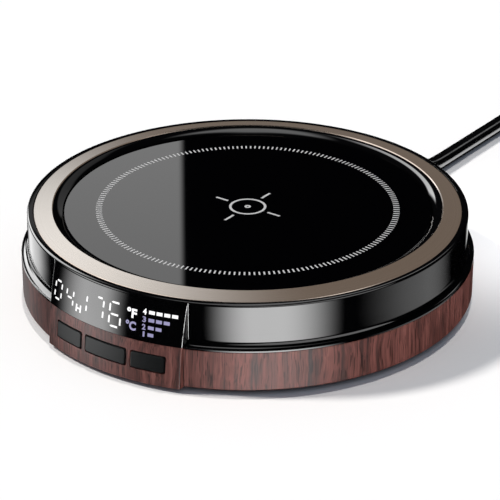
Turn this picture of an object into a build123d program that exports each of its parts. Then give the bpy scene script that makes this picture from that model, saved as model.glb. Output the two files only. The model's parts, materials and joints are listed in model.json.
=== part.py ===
"""Electric mug warmer: a round hot plate with a display and three push buttons on its front.

The frame: +Z is up, the floor is z = 0, the hot plate's axis is x = y = 0, and the display faces -Y.
Every length is in millimetres.
"""

import os
from math import cos, pi, radians, sin, sqrt, tan

from build123d import *

# Radii of the body, from one main radius and the widths of the rings inside and outside it.
rim_radius = 60.0  # gloss band under the metal ring
ledge_width = 2.0  # how far the wood base stands out from the band
rim_strip = 1.7  # black strip between the band's face and the metal ring
trim_width = 5.3  # metal ring
bezel_width = 2.6  # sloping black ring inside the metal ring
heat_margin = 9.0  # glass left outside the heated zone

# Heights of the body.
foot_proud = 1.2
base_height = 11.0
band_height = 12.2
trim_rise = 0.84  # the metal ring climbs this much towards the glass
glass_drop = 0.86  # glass face below the band's top
rim_round = 0.6
ledge_lip = 0.4  # upright edge of the ledge, above the wood
ledge_sweep = 1.5  # radius of the hollow between ledge and band

# Walls, plates and fits.
housing_wall = 2.2
base_wall = 2.2
deck_thickness = 2.0
trim_thickness = 1.0
trim_chamfer = 0.22
bezel_lip = 0.15  # upright inner edge of the sloping ring, above the glass
bezel_drop = 0.3  # its outer edge, below the metal ring's inner edge
bezel_inset = 1.3  # its hidden flange, inside the metal ring's outer edge
bezel_seat_rise = 1.0  # its seat above the glass's underside
glass_thickness = 3.0
glass_chamfer = 0.3
gasket_thickness = 0.5
gasket_width = 4.0
gasket_inset = 1.5  # from the deck's inner edge
spreader_thickness = 1.8
element_thickness = 0.8
pad_thickness = 2.5
bracket_thickness = 0.8
cover_thickness = 2.0
spigot_depth = 3.2  # housing wall that reaches down inside the wood base
cover_ledge_width = 2.0
cover_ledge_height = 1.6
fit_gap = 0.1  # between fixed pieces that slip together
glass_gap = 0.2  # round the glass
heat_gap = 2.0  # air between the hot stack and the plastic deck
foot_bevel = 0.4  # lower edge of the wood base
seam_bevel = 0.2  # its upper edge, under the ledge

# Control block: a flared face between two parallel sides.
block_half_width = 21.4
block_top_drop = 0.9  # from the band's top to the top of the display window
block_seam_rise = 0.3  # from the wood base's top to the line between window and wood
block_seam_reach = 2.35  # how far the face stands out from the band at that line
block_foot_reach = 3.5  # and at its foot
block_side_wall = 1.6
block_edge_round = 0.3
lens_wall = 1.8
lens_top_wall = 1.0
fascia_wall = 2.0
fascia_floor = 2.0

# Buttons and their switches, on the upright control board.
button_names = ("left", "middle", "right")
middle_button_width = 13.5  # window in the wood
side_button_width = 9.9
button_web = 1.0  # wood between two windows
button_height = 4.9
button_middle_drop = 5.05  # from the wood base's top
button_gap = 0.3
button_proud = 0.25
button_corner = 0.6
button_edge_round = 0.25
button_flange_height = 0.9  # flange above and below the window
button_flange_thickness = 1.0
button_flange_gap = 0.15
button_stem_radius = 1.5
button_travel = 0.5
switch_size = 6.0
switch_depth = 3.4
plunger_radius = 1.6
plunger_reach = 1.6  # stands out of the switch
plunger_inside = 1.8
plunger_clearance = 0.06
plunger_end_gap = 0.3  # left behind the plunger when it is pressed home

# Display module and control board.
led_half_width = 19.4
led_depth = 3.2
led_height = 6.6
led_gap = 0.4  # between the module's ends and the curved window
led_top_gap = 0.3  # under the glass
digit_count = 5
digit_width = 4.6
digit_height = 5.4
digit_pitch = 6.0
digit_depth = 0.8
digit_shift = 7.0  # of the row of digits, towards the left
board_thickness = 1.2
control_board_half_width = 19.8
control_board_top_gap = 0.3  # under the deck
guide_width = 3.0
guide_depth = 1.6
guide_height = 6.0
guide_inset = 1.5

# Hot plate stack below the glass.
centre_hole_radius = 3.4
sensor_radius = 3.0
sensor_flange_radius = 4.6
sensor_flange_height = 1.0
lead_hole_radius = 1.4
lead_spacing = 10.0
lead_radius = 0.9
sensor_lead_spacing = 2.4
thin_lead_radius = 0.5
bracket_arm_count = 3
bracket_arm_width = 9.0
bracket_arm_overhang = 3.6  # arm past the boss's centre
bracket_boss_radius = 3.4
bracket_boss_inset = 3.9  # from the deck's inner edge
bracket_disc_inset = 3.0
bracket_bead_radius = 24.0
bracket_bead_size = 1.2
bracket_start_angle = 90.0
fuse_radius = 2.0
fuse_length = 11.0
fuse_x = 12.0
fuse_y = 2.0
fuse_lead_radius = 0.5
fuse_lead_span = 21.0  # between the two leads where they reach the board
fuse_lead_bend = 2.0
clip_width = 4.0
clip_thickness = 0.6
clip_foot = 3.5

# Main board on the bottom cover.
board_side_room = 28.0  # from the band's face to the main board's ends
main_board_depth = 42.0
main_board_y = 8.0
main_board_thickness = 1.6
main_board_corner = 3.0
board_post_height = 3.0
board_post_radius = 2.6
board_post_inset = 4.0
component_corner = 0.5
capacitor = {"width": 13.0, "depth": 7.0, "height": 5.2, "inset": 11.0, "y": 13.0}
chip = {"width": 10.0, "depth": 7.6, "height": 1.8, "inset": 14.0, "y": -3.0}
triac_body = {"width": 10.0, "depth": 9.0, "height": 4.4, "inset": 12.0, "y": -3.0}
triac_tab_depth = 5.0
triac_tab_height = 1.3
triac_hole_radius = 1.7
mains_terminal = {"width": 11.0, "depth": 7.0, "height": 5.4, "x": 0.0, "y": 24.0}
heater_plug = {"width": 15.0, "depth": 5.0, "height": 4.8, "x": 0.0, "y": 14.0}
sensor_plug = {"width": 6.0, "depth": 4.0, "height": 2.6, "x": 0.0, "y": 0.0}
display_plug = {"width": 8.0, "depth": 4.0, "height": 3.6, "x": 0.0, "y": -10.0}
choke_inset = 12.0
choke_y = 20.0
choke_height = 5.0
choke_radius = 4.2
choke_flange = 1.0
mains_wire_spacing = 5.0
mains_wire_radius = 0.8
terminal_hole_depth = 3.0
terminal_screw_radius = 1.4
harness_wire_count = 4
harness_pitch = 1.5
harness_height = 12.0
harness_straight = 6.0
harness_bend = 5.0

# Bottom cover, feet and screws.
boss_radius = 3.5
boss_inset = 9.5  # from the band's face to the boss's centre
boss_count = 4
boss_start_angle = 45.0
foot_radius = 6.0
foot_recess = 0.8
foot_count = 4
foot_start_angle = 0.0
foot_inset = 11.0  # from the band's face
foot_round = 0.5
screw_hole_gap = 0.15
screw_core_gap = 0.05
head_gap = 0.3  # round a sunk screw head
vent_count = 12
vent_width = 1.6
vent_inner_radius = 16.0
vent_outer_radius = 28.0
cover_chamfer = 0.4
cover_screw = {"head_radius": 2.8, "head_height": 1.2, "shank_radius": 1.5, "length": 8.0}
bracket_screw = {"head_radius": 2.3, "head_height": 1.2, "shank_radius": 1.2, "length": 4.0}
board_screw = {"head_radius": 2.1, "head_height": 1.1, "shank_radius": 1.1, "length": 4.0}
cover_head_depth = 1.3  # the cover screws' heads lie this deep
drive_width = 0.6
drive_share = 0.6
drive_depth = 0.6

# Mains lead: straight out of the back, down to the floor, then a tied coil and the plug.
cord_radius = 2.35
exit_drop = 6.6  # from the top of the wood base to the lead's centre
relief_length = 14.0
relief_root_radius = 3.7
relief_tip_radius = 2.85
relief_neck_radius = 3.1
relief_flange_radius = 4.0
relief_flange_thickness = 1.9
relief_seat_depth = 0.4  # flat seat for the flange, sunk into the wood wall
relief_ring_count = 4
relief_ring_gap = 0.9
relief_ring_depth = 0.35
relief_ring_start = 2.4
relief_ring_pitch = 2.6
clamp_inset = 10.0  # from the band's face to the clamp's middle
clamp_half_span = 6.5
clamp_bar_width = 6.0
clamp_bar_height = 1.8
clamp_post_radius = 2.6
clamp_corner = 1.5
jacket_past_clamp = 5.0  # jacket left on the lead beyond the clamp's middle
core_spacing = 2.0
core_straight = 4.0
core_bend = 6.0
terminal_straight = 6.0

coil_x = 30.0
coil_y = 186.0
coil_middle_radius = 23.6
coil_columns = 4  # turns side by side
coil_layers = 2
coil_round = 3.6
tie_thickness = 0.8
tie_slack = 0.05
tie_width = 10.0
tie_turn = 250.0
cord_route = [
    (0.0, 76.0, 5.6),
    (0.0, 83.0, 5.6),
    (3.4, 92.0, 2.7),
    (3.3, 113.0, 2.35),
    (3.5, 136.0, 2.35),
    (3.4, 152.0, 2.35),
    (1.1, 177.0, 2.35),
]
end_route = [
    (58.6, 172.6, 7.0),
    (56.3, 166.0, 6.8),
    (53.3, 159.8, 6.6),
    (51.1, 154.4, 6.5),
    (50.5, 149.0, 6.5),
]
plug_x = 50.5
plug_back_y = 137.0
plug_width = 23.0
plug_height = 13.0
plug_length = 25.0
plug_taper = 11.0  # the back part, where it widens
plug_waist_width = 17.0
plug_waist_height = 10.4
plug_round = 3.0
plug_relief_length = 12.0
plug_relief_root = 4.2
plug_relief_tip = 2.9
plug_grip_count = 4
plug_grip_pitch = 2.4
plug_grip_start = 1.5
plug_grip_width = 1.2
plug_grip_depth = 0.5
blade_spacing = 12.7
blade_thickness = 1.5
blade_height = 6.35
blade_length = 17.0
blade_hole_radius = 1.6
blade_hole_from_tip = 3.6
blade_chamfer = 0.5

# Heights and radii that follow from the sizes above.
base_radius = rim_radius + ledge_width
base_inner_radius = base_radius - base_wall
housing_inner_radius = base_inner_radius - fit_gap - housing_wall
trim_outer_radius = rim_radius - rim_strip
trim_inner_radius = trim_outer_radius - trim_width
view_radius = trim_inner_radius - bezel_width
glass_radius = view_radius - glass_gap
heat_radius = view_radius - heat_margin
deck_inner_radius = heat_radius + heat_gap
base_bottom = foot_proud
base_top = base_bottom + base_height
rim_top = base_top + band_height
glass_top = rim_top - glass_drop
glass_under = glass_top - glass_thickness
deck_top = glass_under - gasket_thickness
deck_under = deck_top - deck_thickness
spreader_under = glass_under - spreader_thickness
element_under = spreader_under - element_thickness
pad_under = element_under - pad_thickness
bracket_under = pad_under - bracket_thickness
cover_top = base_bottom + cover_thickness
cover_radius = base_inner_radius - fit_gap
exit_height = base_top - exit_drop
relief_seat = base_inner_radius + relief_seat_depth
relief_inner = relief_seat - relief_flange_thickness
tie_room = tie_thickness + tie_slack
coil_across = 2 * cord_radius * coil_columns + 2 * tie_room
coil_tall = 2 * cord_radius * coil_layers + 2 * tie_room
clamp_y = rim_radius - clamp_inset
tail_end_y = clamp_y - jacket_past_clamp
bezel_seat = glass_under + bezel_seat_rise
bezel_outer_radius = trim_outer_radius - bezel_inset
block_top = rim_top - block_top_drop
block_seam = base_top + block_seam_rise
button_middle = base_top - button_middle_drop
main_board_width = 2 * (rim_radius - board_side_room)
main_board_under = cover_top + board_post_height
main_board_top = main_board_under + main_board_thickness
on_floor = (Align.CENTER, Align.CENTER, Align.MIN)
far = 4 * rim_radius  # reaches past everything


def trim_under(radius):
    """Height of the metal ring's underside at a radius."""
    slope = trim_rise / trim_width
    return rim_top - trim_thickness + (trim_outer_radius - radius) * slope


def lathe(points, rounds=None):
    """Turns (radius, height) corners about Z; rounds gives a corner's radius by its index."""
    face = make_face(Plane.XZ * Polyline(*points, close=True))
    for index, radius in (rounds or {}).items():
        corner = face.vertices().sort_by_distance((points[index][0], 0, points[index][1]))[0]
        face = fillet(corner, radius)
    return revolve(face, Axis.Z)


def ring(inner, outer, low, high):
    """A flat ring, or a disc when inner is 0."""
    return lathe([(inner, low), (outer, low), (outer, high), (inner, high)])


def post(x, y, low, high, radius):
    """An upright cylinder."""
    return Pos(x, y, low) * Cylinder(radius, high - low, align=on_floor)


def bar(x, z, front, back, radius):
    """A cylinder along Y."""
    return Pos(x, back, z) * Rot(90, 0, 0) * Cylinder(radius, back - front, align=on_floor)


def block(x_low, x_high, y_low, y_high, z_low, z_high):
    """A box from its low and high corners."""
    size = Box(x_high - x_low, y_high - y_low, z_high - z_low)
    return Pos((x_low + x_high) / 2, (y_low + y_high) / 2, (z_low + z_high) / 2) * size


def slab(width, depth, low, high, corner, x=0.0, y=0.0):
    """An upright plate with rounded corners."""
    return extrude(Pos(x, y, low) * RectangleRounded(width, depth, corner), high - low)


def around(count, radius, start):
    """Points spaced evenly on a circle."""
    turns = [radians(start + 360 * i / count) for i in range(count)]
    return [(radius * cos(turn), radius * sin(turn)) for turn in turns]


def joined(solids):
    """All of a list of solids as one part."""
    whole = Part()
    for solid in solids:
        whole += solid
    return whole


def screw(head_radius, head_height, shank_radius, length):
    """A pan-head screw that points up, with the head's bearing face at z = 0."""
    head = Pos(0, 0, -head_height) * Cylinder(head_radius, head_height, align=on_floor)
    head = fillet(head.edges().group_by(Axis.Z)[0], head_height / 2)
    arm = Box(drive_width, 2 * drive_share * head_radius, 2 * drive_depth)
    cross = Pos(0, 0, -head_height) * (arm + Rot(0, 0, 90) * arm)
    return head + Cylinder(shank_radius, length, align=on_floor) - cross


def bend_radii(route):
    """The largest smooth radius at each inner point of a route."""
    points = [Vector(*point) for point in route]
    radii = []
    for before, here, after in zip(points, points[1:], points[2:]):
        half_turn = radians((here - before).get_angle(after - here)) / 2
        shorter = min((here - before).length, (after - here).length)
        radii.append(0.45 * shorter / tan(half_turn))
    return radii


def tube(route, radius, radii):
    """A round cord, cable or wire along straight runs joined by tangent arcs."""
    path = FilletPolyline(*route, radius=radii)
    section = Plane(path @ 0, z_dir=path % 0) * Circle(radius)
    return sweep(section, path)


# Body, from the top down.


def upper_housing():
    """Gloss black band and its inner deck, with the well for the glass and the display's opening."""
    spigot_bottom = base_top - spigot_depth
    seat = bezel_outer_radius + fit_gap
    lip = trim_outer_radius + fit_gap
    points = [
        (base_radius, base_top),
        (base_radius, base_top + ledge_lip),
        (rim_radius, base_top + ledge_lip),
        (rim_radius, rim_top),
        (lip, rim_top),
        (lip, trim_under(lip)),
        (seat, trim_under(seat)),
        (seat, bezel_seat),
        (view_radius, bezel_seat),
        (view_radius, deck_top),
        (deck_inner_radius, deck_top),
        (deck_inner_radius, deck_under),
        (housing_inner_radius, deck_under),
        (housing_inner_radius, spigot_bottom),
        (housing_inner_radius + housing_wall, spigot_bottom),
        (housing_inner_radius + housing_wall, base_top),
    ]
    shell = lathe(points, {3: rim_round, 2: ledge_sweep})
    shell += joined(post(x, y, cover_top, deck_under, boss_radius) for x, y in cover_bosses())
    shell += joined(post(x, y, pad_under, deck_under, bracket_boss_radius) for x, y in bracket_bosses())
    drill_depth = cover_screw["length"] + fit_gap
    screw_seat = base_bottom + cover_head_depth
    for x, y in cover_bosses():
        core = cover_screw["shank_radius"] + screw_core_gap
        shell -= post(x, y, cover_top, screw_seat + drill_depth, core)
    for x, y in bracket_bosses():
        core = bracket_screw["shank_radius"] + screw_core_gap
        shell -= post(x, y, pad_under, bracket_under + bracket_screw["length"] + fit_gap, core)
    side = block_half_width + fit_gap
    window = block(-side, side, -far, 0, 0, block_top + fit_gap)
    window -= post(0, 0, -far, far, housing_inner_radius)
    display_room = display_block(fit_gap, housing_inner_radius + fit_gap)
    flange = relief_flange_radius + fit_gap
    relief_room = block(-flange, flange, 0, relief_seat, 0, exit_height + flange)
    return shell - window - display_room - relief_room


def trim_ring():
    """Brushed metal ring round the glass, sloping up towards it."""
    points = [
        (trim_outer_radius, rim_top - trim_thickness),
        (trim_outer_radius, rim_top - trim_chamfer),
        (trim_outer_radius - trim_chamfer, rim_top),
        (trim_inner_radius + trim_chamfer, rim_top + trim_rise),
        (trim_inner_radius, rim_top + trim_rise - trim_chamfer),
        (trim_inner_radius, trim_under(trim_inner_radius)),
    ]
    return lathe(points)


def panel_bezel():
    """Sloping gloss ring between the metal ring and the glass."""
    shoulder = trim_inner_radius - fit_gap
    points = [
        (view_radius, bezel_seat),
        (view_radius, glass_top + bezel_lip),
        (shoulder, rim_top + trim_rise - bezel_drop),
        (shoulder, trim_under(shoulder)),
        (bezel_outer_radius, trim_under(bezel_outer_radius)),
        (bezel_outer_radius, bezel_seat),
    ]
    return lathe(points)


def glass_panel():
    """Black glass plate that the mug stands on."""
    disc = ring(0, glass_radius, glass_under, glass_top)
    return chamfer(disc.edges().group_by(Axis.Z)[-1], glass_chamfer)


def panel_gasket():
    """Silicone ring that bonds the glass to the deck."""
    inner = deck_inner_radius + gasket_inset
    return ring(inner, inner + gasket_width, deck_top, glass_under)


def heat_spreader():
    """Aluminium disc bonded under the glass."""
    return ring(0, heat_radius, spreader_under, glass_under)


def heating_element():
    """Mica plate heater, with a hole for the sensor."""
    return ring(centre_hole_radius, heat_radius, element_under, spreader_under)


def insulation_pad():
    """Ceramic fibre pad under the element."""
    pad = ring(centre_hole_radius, heat_radius, pad_under, element_under)
    return pad - lead_holes(pad_under, element_under)


def lead_holes(low, high):
    """The two holes that the element's leads come down through."""
    half = lead_spacing / 2
    y = heater_plug["y"]
    return joined(post(x, y, low, high, lead_hole_radius) for x in (-half, half))


def heater_bracket():
    """Pressed steel plate that pushes the hot stack up against the glass."""
    disc = ring(0, heat_radius - bracket_disc_inset, bracket_under, pad_under)
    bead = lathe(
        [
            (bracket_bead_radius - bracket_bead_size, bracket_under),
            (bracket_bead_radius, bracket_under - bracket_bead_size),
            (bracket_bead_radius + bracket_bead_size, bracket_under),
        ]
    )
    plate = disc + bead
    reach = bracket_boss_circle() + bracket_arm_overhang
    for i in range(bracket_arm_count):
        arm = slab(reach, bracket_arm_width, bracket_under, pad_under, bracket_arm_width / 3, reach / 2)
        plate += Rot(0, 0, bracket_start_angle + 360 * i / bracket_arm_count) * arm
    hole = bracket_screw["shank_radius"] + screw_hole_gap
    for x, y in bracket_bosses():
        plate -= post(x, y, bracket_under, pad_under, hole)
    plate -= post(0, 0, bracket_under - bracket_bead_size, pad_under, centre_hole_radius)
    return plate - lead_holes(bracket_under, pad_under)


def bracket_boss_circle():
    """Radius of the circle of bracket bosses."""
    return deck_inner_radius + bracket_boss_inset


def bracket_bosses():
    """Centres of the bosses that carry the bracket."""
    return around(bracket_arm_count, bracket_boss_circle(), bracket_start_angle)


def cover_bosses():
    """Centres of the bosses that carry the bottom cover."""
    return around(boss_count, rim_radius - boss_inset, boss_start_angle)


def bracket_screws():
    """The screws that hold the bracket up."""
    one = screw(**bracket_screw)
    return joined(Pos(x, y, bracket_under) * one for x, y in bracket_bosses())


def thermistor():
    """Temperature sensor in its holder, pressed against the spreader."""
    stem = post(0, 0, bracket_under, spreader_under, sensor_radius)
    return stem + post(0, 0, bracket_under - sensor_flange_height, bracket_under, sensor_flange_radius)


def fuse_centre():
    """Height of the fuse's axis, with its can against the bracket."""
    return bracket_under - fuse_radius


def thermal_fuse():
    """One-shot fuse, with its two leads bent down to the main board."""
    z = fuse_centre()
    ends = (fuse_y - fuse_lead_span / 2, fuse_y + fuse_lead_span / 2)
    route = [(fuse_x, ends[0], main_board_top), (fuse_x, ends[0], z)]
    route += [(fuse_x, ends[1], z), (fuse_x, ends[1], main_board_top)]
    can = bar(fuse_x, z, fuse_y - fuse_length / 2, fuse_y + fuse_length / 2, fuse_radius)
    return can + tube(route, fuse_lead_radius, [fuse_lead_bend] * 2)


def fuse_clip():
    """Spring strap that holds the fuse against the bracket."""
    z = fuse_centre()
    low = fuse_y - clip_width / 2
    high = fuse_y + clip_width / 2
    inner = fuse_radius + fit_gap
    outer = inner + clip_thickness
    foot = outer + clip_foot
    strap = bar(fuse_x, z, low, high, outer)
    strap += block(fuse_x - outer, fuse_x + outer, low, high, z, bracket_under)
    foot_low = bracket_under - clip_thickness
    strap += block(fuse_x - foot, fuse_x + foot, low, high, foot_low, bracket_under)
    strap -= bar(fuse_x, z, low, high, inner)
    strap -= block(fuse_x - inner, fuse_x + inner, low, high, z, bracket_under)
    return strap - block(fuse_x - foot, fuse_x + foot, low, high, bracket_under, far)


# Wood base and control block.


def base_shell():
    """Wood-grain wall of the base, with a ledge that the bottom cover bears on."""
    ledge_top = cover_top + cover_ledge_height
    ledge_inner = base_inner_radius - cover_ledge_width
    points = [
        (base_inner_radius, base_bottom),
        (base_radius - foot_bevel, base_bottom),
        (base_radius, base_bottom + foot_bevel),
        (base_radius, base_top - seam_bevel),
        (base_radius - seam_bevel, base_top),
        (base_inner_radius, base_top),
        (base_inner_radius, ledge_top),
        (ledge_inner, ledge_top),
        (ledge_inner, cover_top),
        (base_inner_radius, cover_top),
    ]
    wall = lathe(points)
    side = block_half_width + fit_gap
    wall -= block(-side, side, -far, 0, 0, far)
    flange = relief_flange_radius + fit_gap
    wall -= block(-flange, flange, 0, relief_seat, cover_top, exit_height + flange)
    return wall - bar(0, exit_height, 0, far, relief_neck_radius + fit_gap)


def block_face(inset, half_width, low, high, back=housing_inner_radius):
    """The control block's flared form, from its face less an inset back to a radius."""
    top = (rim_radius - inset, block_top)
    middle = (rim_radius + block_seam_reach - inset, block_seam)
    foot = (rim_radius + block_foot_reach - inset, base_bottom)
    back_low = (back, base_bottom)
    back_high = (back, block_top)
    face_line = ThreePointArc(top, middle, foot)
    rest = Polyline(foot, back_low, back_high, top)
    form = revolve(make_face(Plane.XZ * (face_line + rest)), Axis.Z)
    return form & block(-half_width, half_width, -far, 0, low, high)


def rounded_face_edges(part):
    """Rounds the two long edges where the flared face meets the parallel sides."""
    middle = (part.bounding_box().min.Z + part.bounding_box().max.Z) / 2
    reach = rim_radius + block_seam_reach
    front = sqrt(reach**2 - block_half_width**2)
    corners = [(-block_half_width, -front, middle), (block_half_width, -front, middle)]
    edges = [part.edges().sort_by_distance(corner)[0] for corner in corners]
    return fillet(edges, block_edge_round)


def control_fascia():
    """Wood lower half of the control block, with three windows for the buttons."""
    high = block_seam - fit_gap / 2
    shell = rounded_face_edges(block_face(0, block_half_width, base_bottom, high))
    inner_half = block_half_width - block_side_wall
    pocket_floor = base_bottom + fascia_floor
    shell -= block_face(fascia_wall, inner_half, pocket_floor, block_seam)
    shell -= post(0, 0, 0, cover_top + fit_gap, cover_radius + fit_gap)
    for name in button_names:
        shell -= button_prism(name, 0)
    return shell


def display_lens():
    """Smoked gloss window over the display, the upper half of the control block."""
    low = block_seam + fit_gap / 2
    lens = rounded_face_edges(block_face(0, block_half_width, low, block_top))
    inner_half = block_half_width - block_side_wall
    lens -= block_face(lens_wall, inner_half, 0, block_top - lens_top_wall)
    ring_room = trim_outer_radius + fit_gap
    return lens - post(0, 0, trim_under(ring_room) - fit_gap, far, ring_room)


def display_front():
    """Distance of the display module's face from the axis, where its ends just clear the window."""
    inner = rim_radius - lens_wall
    return sqrt(inner**2 - led_half_width**2) - led_gap


def board_front():
    """Distance of the control board's face from the axis."""
    return display_front() - led_depth


def display_block(gap, front):
    """The display module's form grown by a gap, from the board out to a front."""
    half = led_half_width + gap
    top = glass_under - led_top_gap
    return block(-half, half, -front, -board_front() + gap, top - led_height - gap, top + gap)


def led_display():
    """Display module with a light well for each digit."""
    front = display_front()
    module = display_block(0, front)
    middle = glass_under - led_top_gap - led_height / 2
    for i in range(digit_count):
        x = (i - (digit_count - 1) / 2) * digit_pitch - digit_shift
        half = digit_width / 2
        low = middle - digit_height / 2
        module -= block(x - half, x + half, -front, digit_depth - front, low, low + digit_height)
    return module


def control_board():
    """Upright board behind the display and the buttons."""
    back = board_thickness - board_front()
    half = control_board_half_width
    return block(-half, half, -board_front(), back, cover_top, deck_under - control_board_top_gap)


def button_span(name):
    """A button window's low and high x."""
    half = middle_button_width / 2
    spans = {
        "left": (-half - button_web - side_button_width, -half - button_web),
        "middle": (-half, half),
        "right": (half + button_web, half + button_web + side_button_width),
    }
    return spans[name]


def button_centre(name):
    """A button's middle x."""
    return sum(button_span(name)) / 2


def button_prism(name, gap):
    """A button window's outline less a gap, drawn out along Y through the whole face."""
    low, high = button_span(name)
    outline = RectangleRounded(high - low - 2 * gap, button_height - 2 * gap, button_corner)
    return extrude(Plane.XZ * Pos(button_centre(name), button_middle) * outline, far)


def stem_front(name):
    """Distance from the axis, along Y, of the middle of a button's flange."""
    share = (block_seam - button_middle) / (block_seam - base_bottom)
    reach = block_seam_reach + (block_foot_reach - block_seam_reach) * share
    depth = fascia_wall + button_flange_gap + button_flange_thickness / 2
    return sqrt((rim_radius + reach - depth) ** 2 - button_centre(name) ** 2)


def plunger_tip():
    """Distance of the switch plungers' free ends from the axis."""
    return board_front() + switch_depth + plunger_reach


def button_cap(name):
    """Push button: its face follows the wood's, and a flange behind the wood keeps it in."""
    low, high = button_span(name)
    x = button_centre(name)
    face = button_prism(name, button_gap) & block_face(-button_proud, far, base_bottom, block_seam)
    outer = face.faces().sort_by_distance((x, -far, button_middle))[0]
    face = fillet(outer.edges(), button_edge_round)
    behind = fascia_wall + button_flange_gap
    half = button_height / 2 + button_flange_height
    flange = block_face(behind, far, button_middle - half, button_middle + half)
    flange &= block(low + button_gap, high - button_gap, -far, 0, -far, far)
    inside = behind + button_flange_thickness
    hollow = block_face(inside, far, base_bottom, block_top, deck_inner_radius)
    stem = bar(x, button_middle, -stem_front(name), -plunger_tip(), button_stem_radius)
    return face + flange - hollow + stem


def switch(name):
    """Tact switch body on the control board."""
    x = button_centre(name)
    half = switch_size / 2
    front = board_front() + switch_depth
    low = button_middle - half
    body = block(x - half, x + half, -front, -board_front(), low, low + switch_size)
    well_end = front - plunger_inside - button_travel - plunger_end_gap
    return body - bar(x, button_middle, -far, -well_end, plunger_radius + plunger_clearance)


def plunger(name):
    """The switch's round plunger, which its button pushes."""
    inner_end = board_front() + switch_depth - plunger_inside
    return bar(button_centre(name), button_middle, -plunger_tip(), -inner_end, plunger_radius)


# Main board and wiring.


def main_board():
    """Power and control board on the bottom cover's posts."""
    outline = Pos(0, main_board_y, main_board_under) * RectangleRounded(
        main_board_width, main_board_depth, main_board_corner
    )
    board = extrude(outline, main_board_thickness)
    hole = board_screw["shank_radius"] + screw_hole_gap
    for x, y in board_posts():
        board -= post(x, y, main_board_under, main_board_top, hole)
    return board


def board_posts():
    """Centres of the posts under the main board."""
    x = main_board_width / 2 - board_post_inset
    y = main_board_depth / 2 - board_post_inset
    return [(i * x, main_board_y + j * y) for i in (-1, 1) for j in (-1, 1)]


def board_screws():
    """The screws that hold the main board down."""
    one = Rot(180, 0, 0) * screw(**board_screw)
    return joined(Pos(x, y, main_board_top) * one for x, y in board_posts())


def component(width, depth, height, x, y):
    """A moulded component that stands on the main board."""
    return slab(width, depth, main_board_top, main_board_top + height, component_corner, x, y)


def end_component(side, width, depth, height, inset, y):
    """A component at an inset from the board's left end (-1) or right end (1)."""
    return component(width, depth, height, side * (main_board_width / 2 - inset), y)


def film_capacitor():
    """Mains filter capacitor."""
    return end_component(-1, **capacitor)


def choke():
    """Drum-core choke, with a waist for its winding."""
    x = main_board_width / 2 - choke_inset
    low = main_board_top
    high = low + choke_height
    drum = post(x, choke_y, low, high, choke_radius - choke_flange)
    for bottom in (low, high - choke_flange):
        drum += post(x, choke_y, bottom, bottom + choke_flange, choke_radius)
    return drum


def triac():
    """Heater switch lying flat, with its drilled metal tab."""
    tab_y = triac_body["y"] + (triac_body["depth"] + triac_tab_depth) / 2
    tab_depth = triac_tab_depth + 2 * component_corner
    inset = triac_body["inset"]
    tab = end_component(-1, triac_body["width"], tab_depth, triac_tab_height, inset, tab_y)
    hole = post(inset - main_board_width / 2, tab_y, 0, far, triac_hole_radius)
    return end_component(-1, **triac_body) + tab - hole


def controller_chip():
    """Controller in a flat package."""
    return end_component(1, **chip)


def mains_wire_height():
    """Height at which the mains wires enter the terminal."""
    return main_board_top + mains_terminal["height"] / 3


def terminal_block():
    """Two-way terminal for the mains lead, with a wire hole and a screw hole for each way."""
    body = component(**mains_terminal)
    top = main_board_top + mains_terminal["height"]
    y = mains_terminal["y"]
    back = y + mains_terminal["depth"] / 2
    for x in (-mains_wire_spacing / 2, mains_wire_spacing / 2):
        wire_hole = mains_wire_radius + screw_core_gap
        body -= bar(x, mains_wire_height(), back - terminal_hole_depth, back, wire_hole)
        body -= post(x, y, top - terminal_hole_depth / 2, top, terminal_screw_radius)
    return body


def heater_connector():
    """Housing that the element's two leads plug into from above."""
    return component(**heater_plug)


def sensor_connector():
    """Small housing below the sensor."""
    return component(**sensor_plug)


def display_connector():
    """Housing for the display's harness, at the main board's front edge."""
    return component(**display_plug)


def heater_leads():
    """The element's two leads, down through the pad and the bracket."""
    low = main_board_top + heater_plug["height"]
    xs = (-lead_spacing / 2, lead_spacing / 2)
    return joined(post(x, heater_plug["y"], low, element_under, lead_radius) for x in xs)


def sensor_leads():
    """The sensor's two leads."""
    low = main_board_top + sensor_plug["height"]
    high = bracket_under - sensor_flange_height
    xs = (-sensor_lead_spacing / 2, sensor_lead_spacing / 2)
    return joined(post(x, sensor_plug["y"], low, high, thin_lead_radius) for x in xs)


def display_harness():
    """Wires from the control board's back to the main board."""
    start = board_thickness - board_front()
    end = display_plug["y"] - display_plug["depth"] / 2
    end_height = main_board_top + display_plug["height"] / 3
    wires = []
    for i in range(harness_wire_count):
        x = (i - (harness_wire_count - 1) / 2) * harness_pitch
        route = [
            (x, start, harness_height),
            (x, start + harness_straight, harness_height),
            (x, end - harness_straight, end_height),
            (x, end, end_height),
        ]
        wires.append(tube(route, thin_lead_radius, [harness_bend] * 2))
    return joined(wires)


# Underside.


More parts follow.
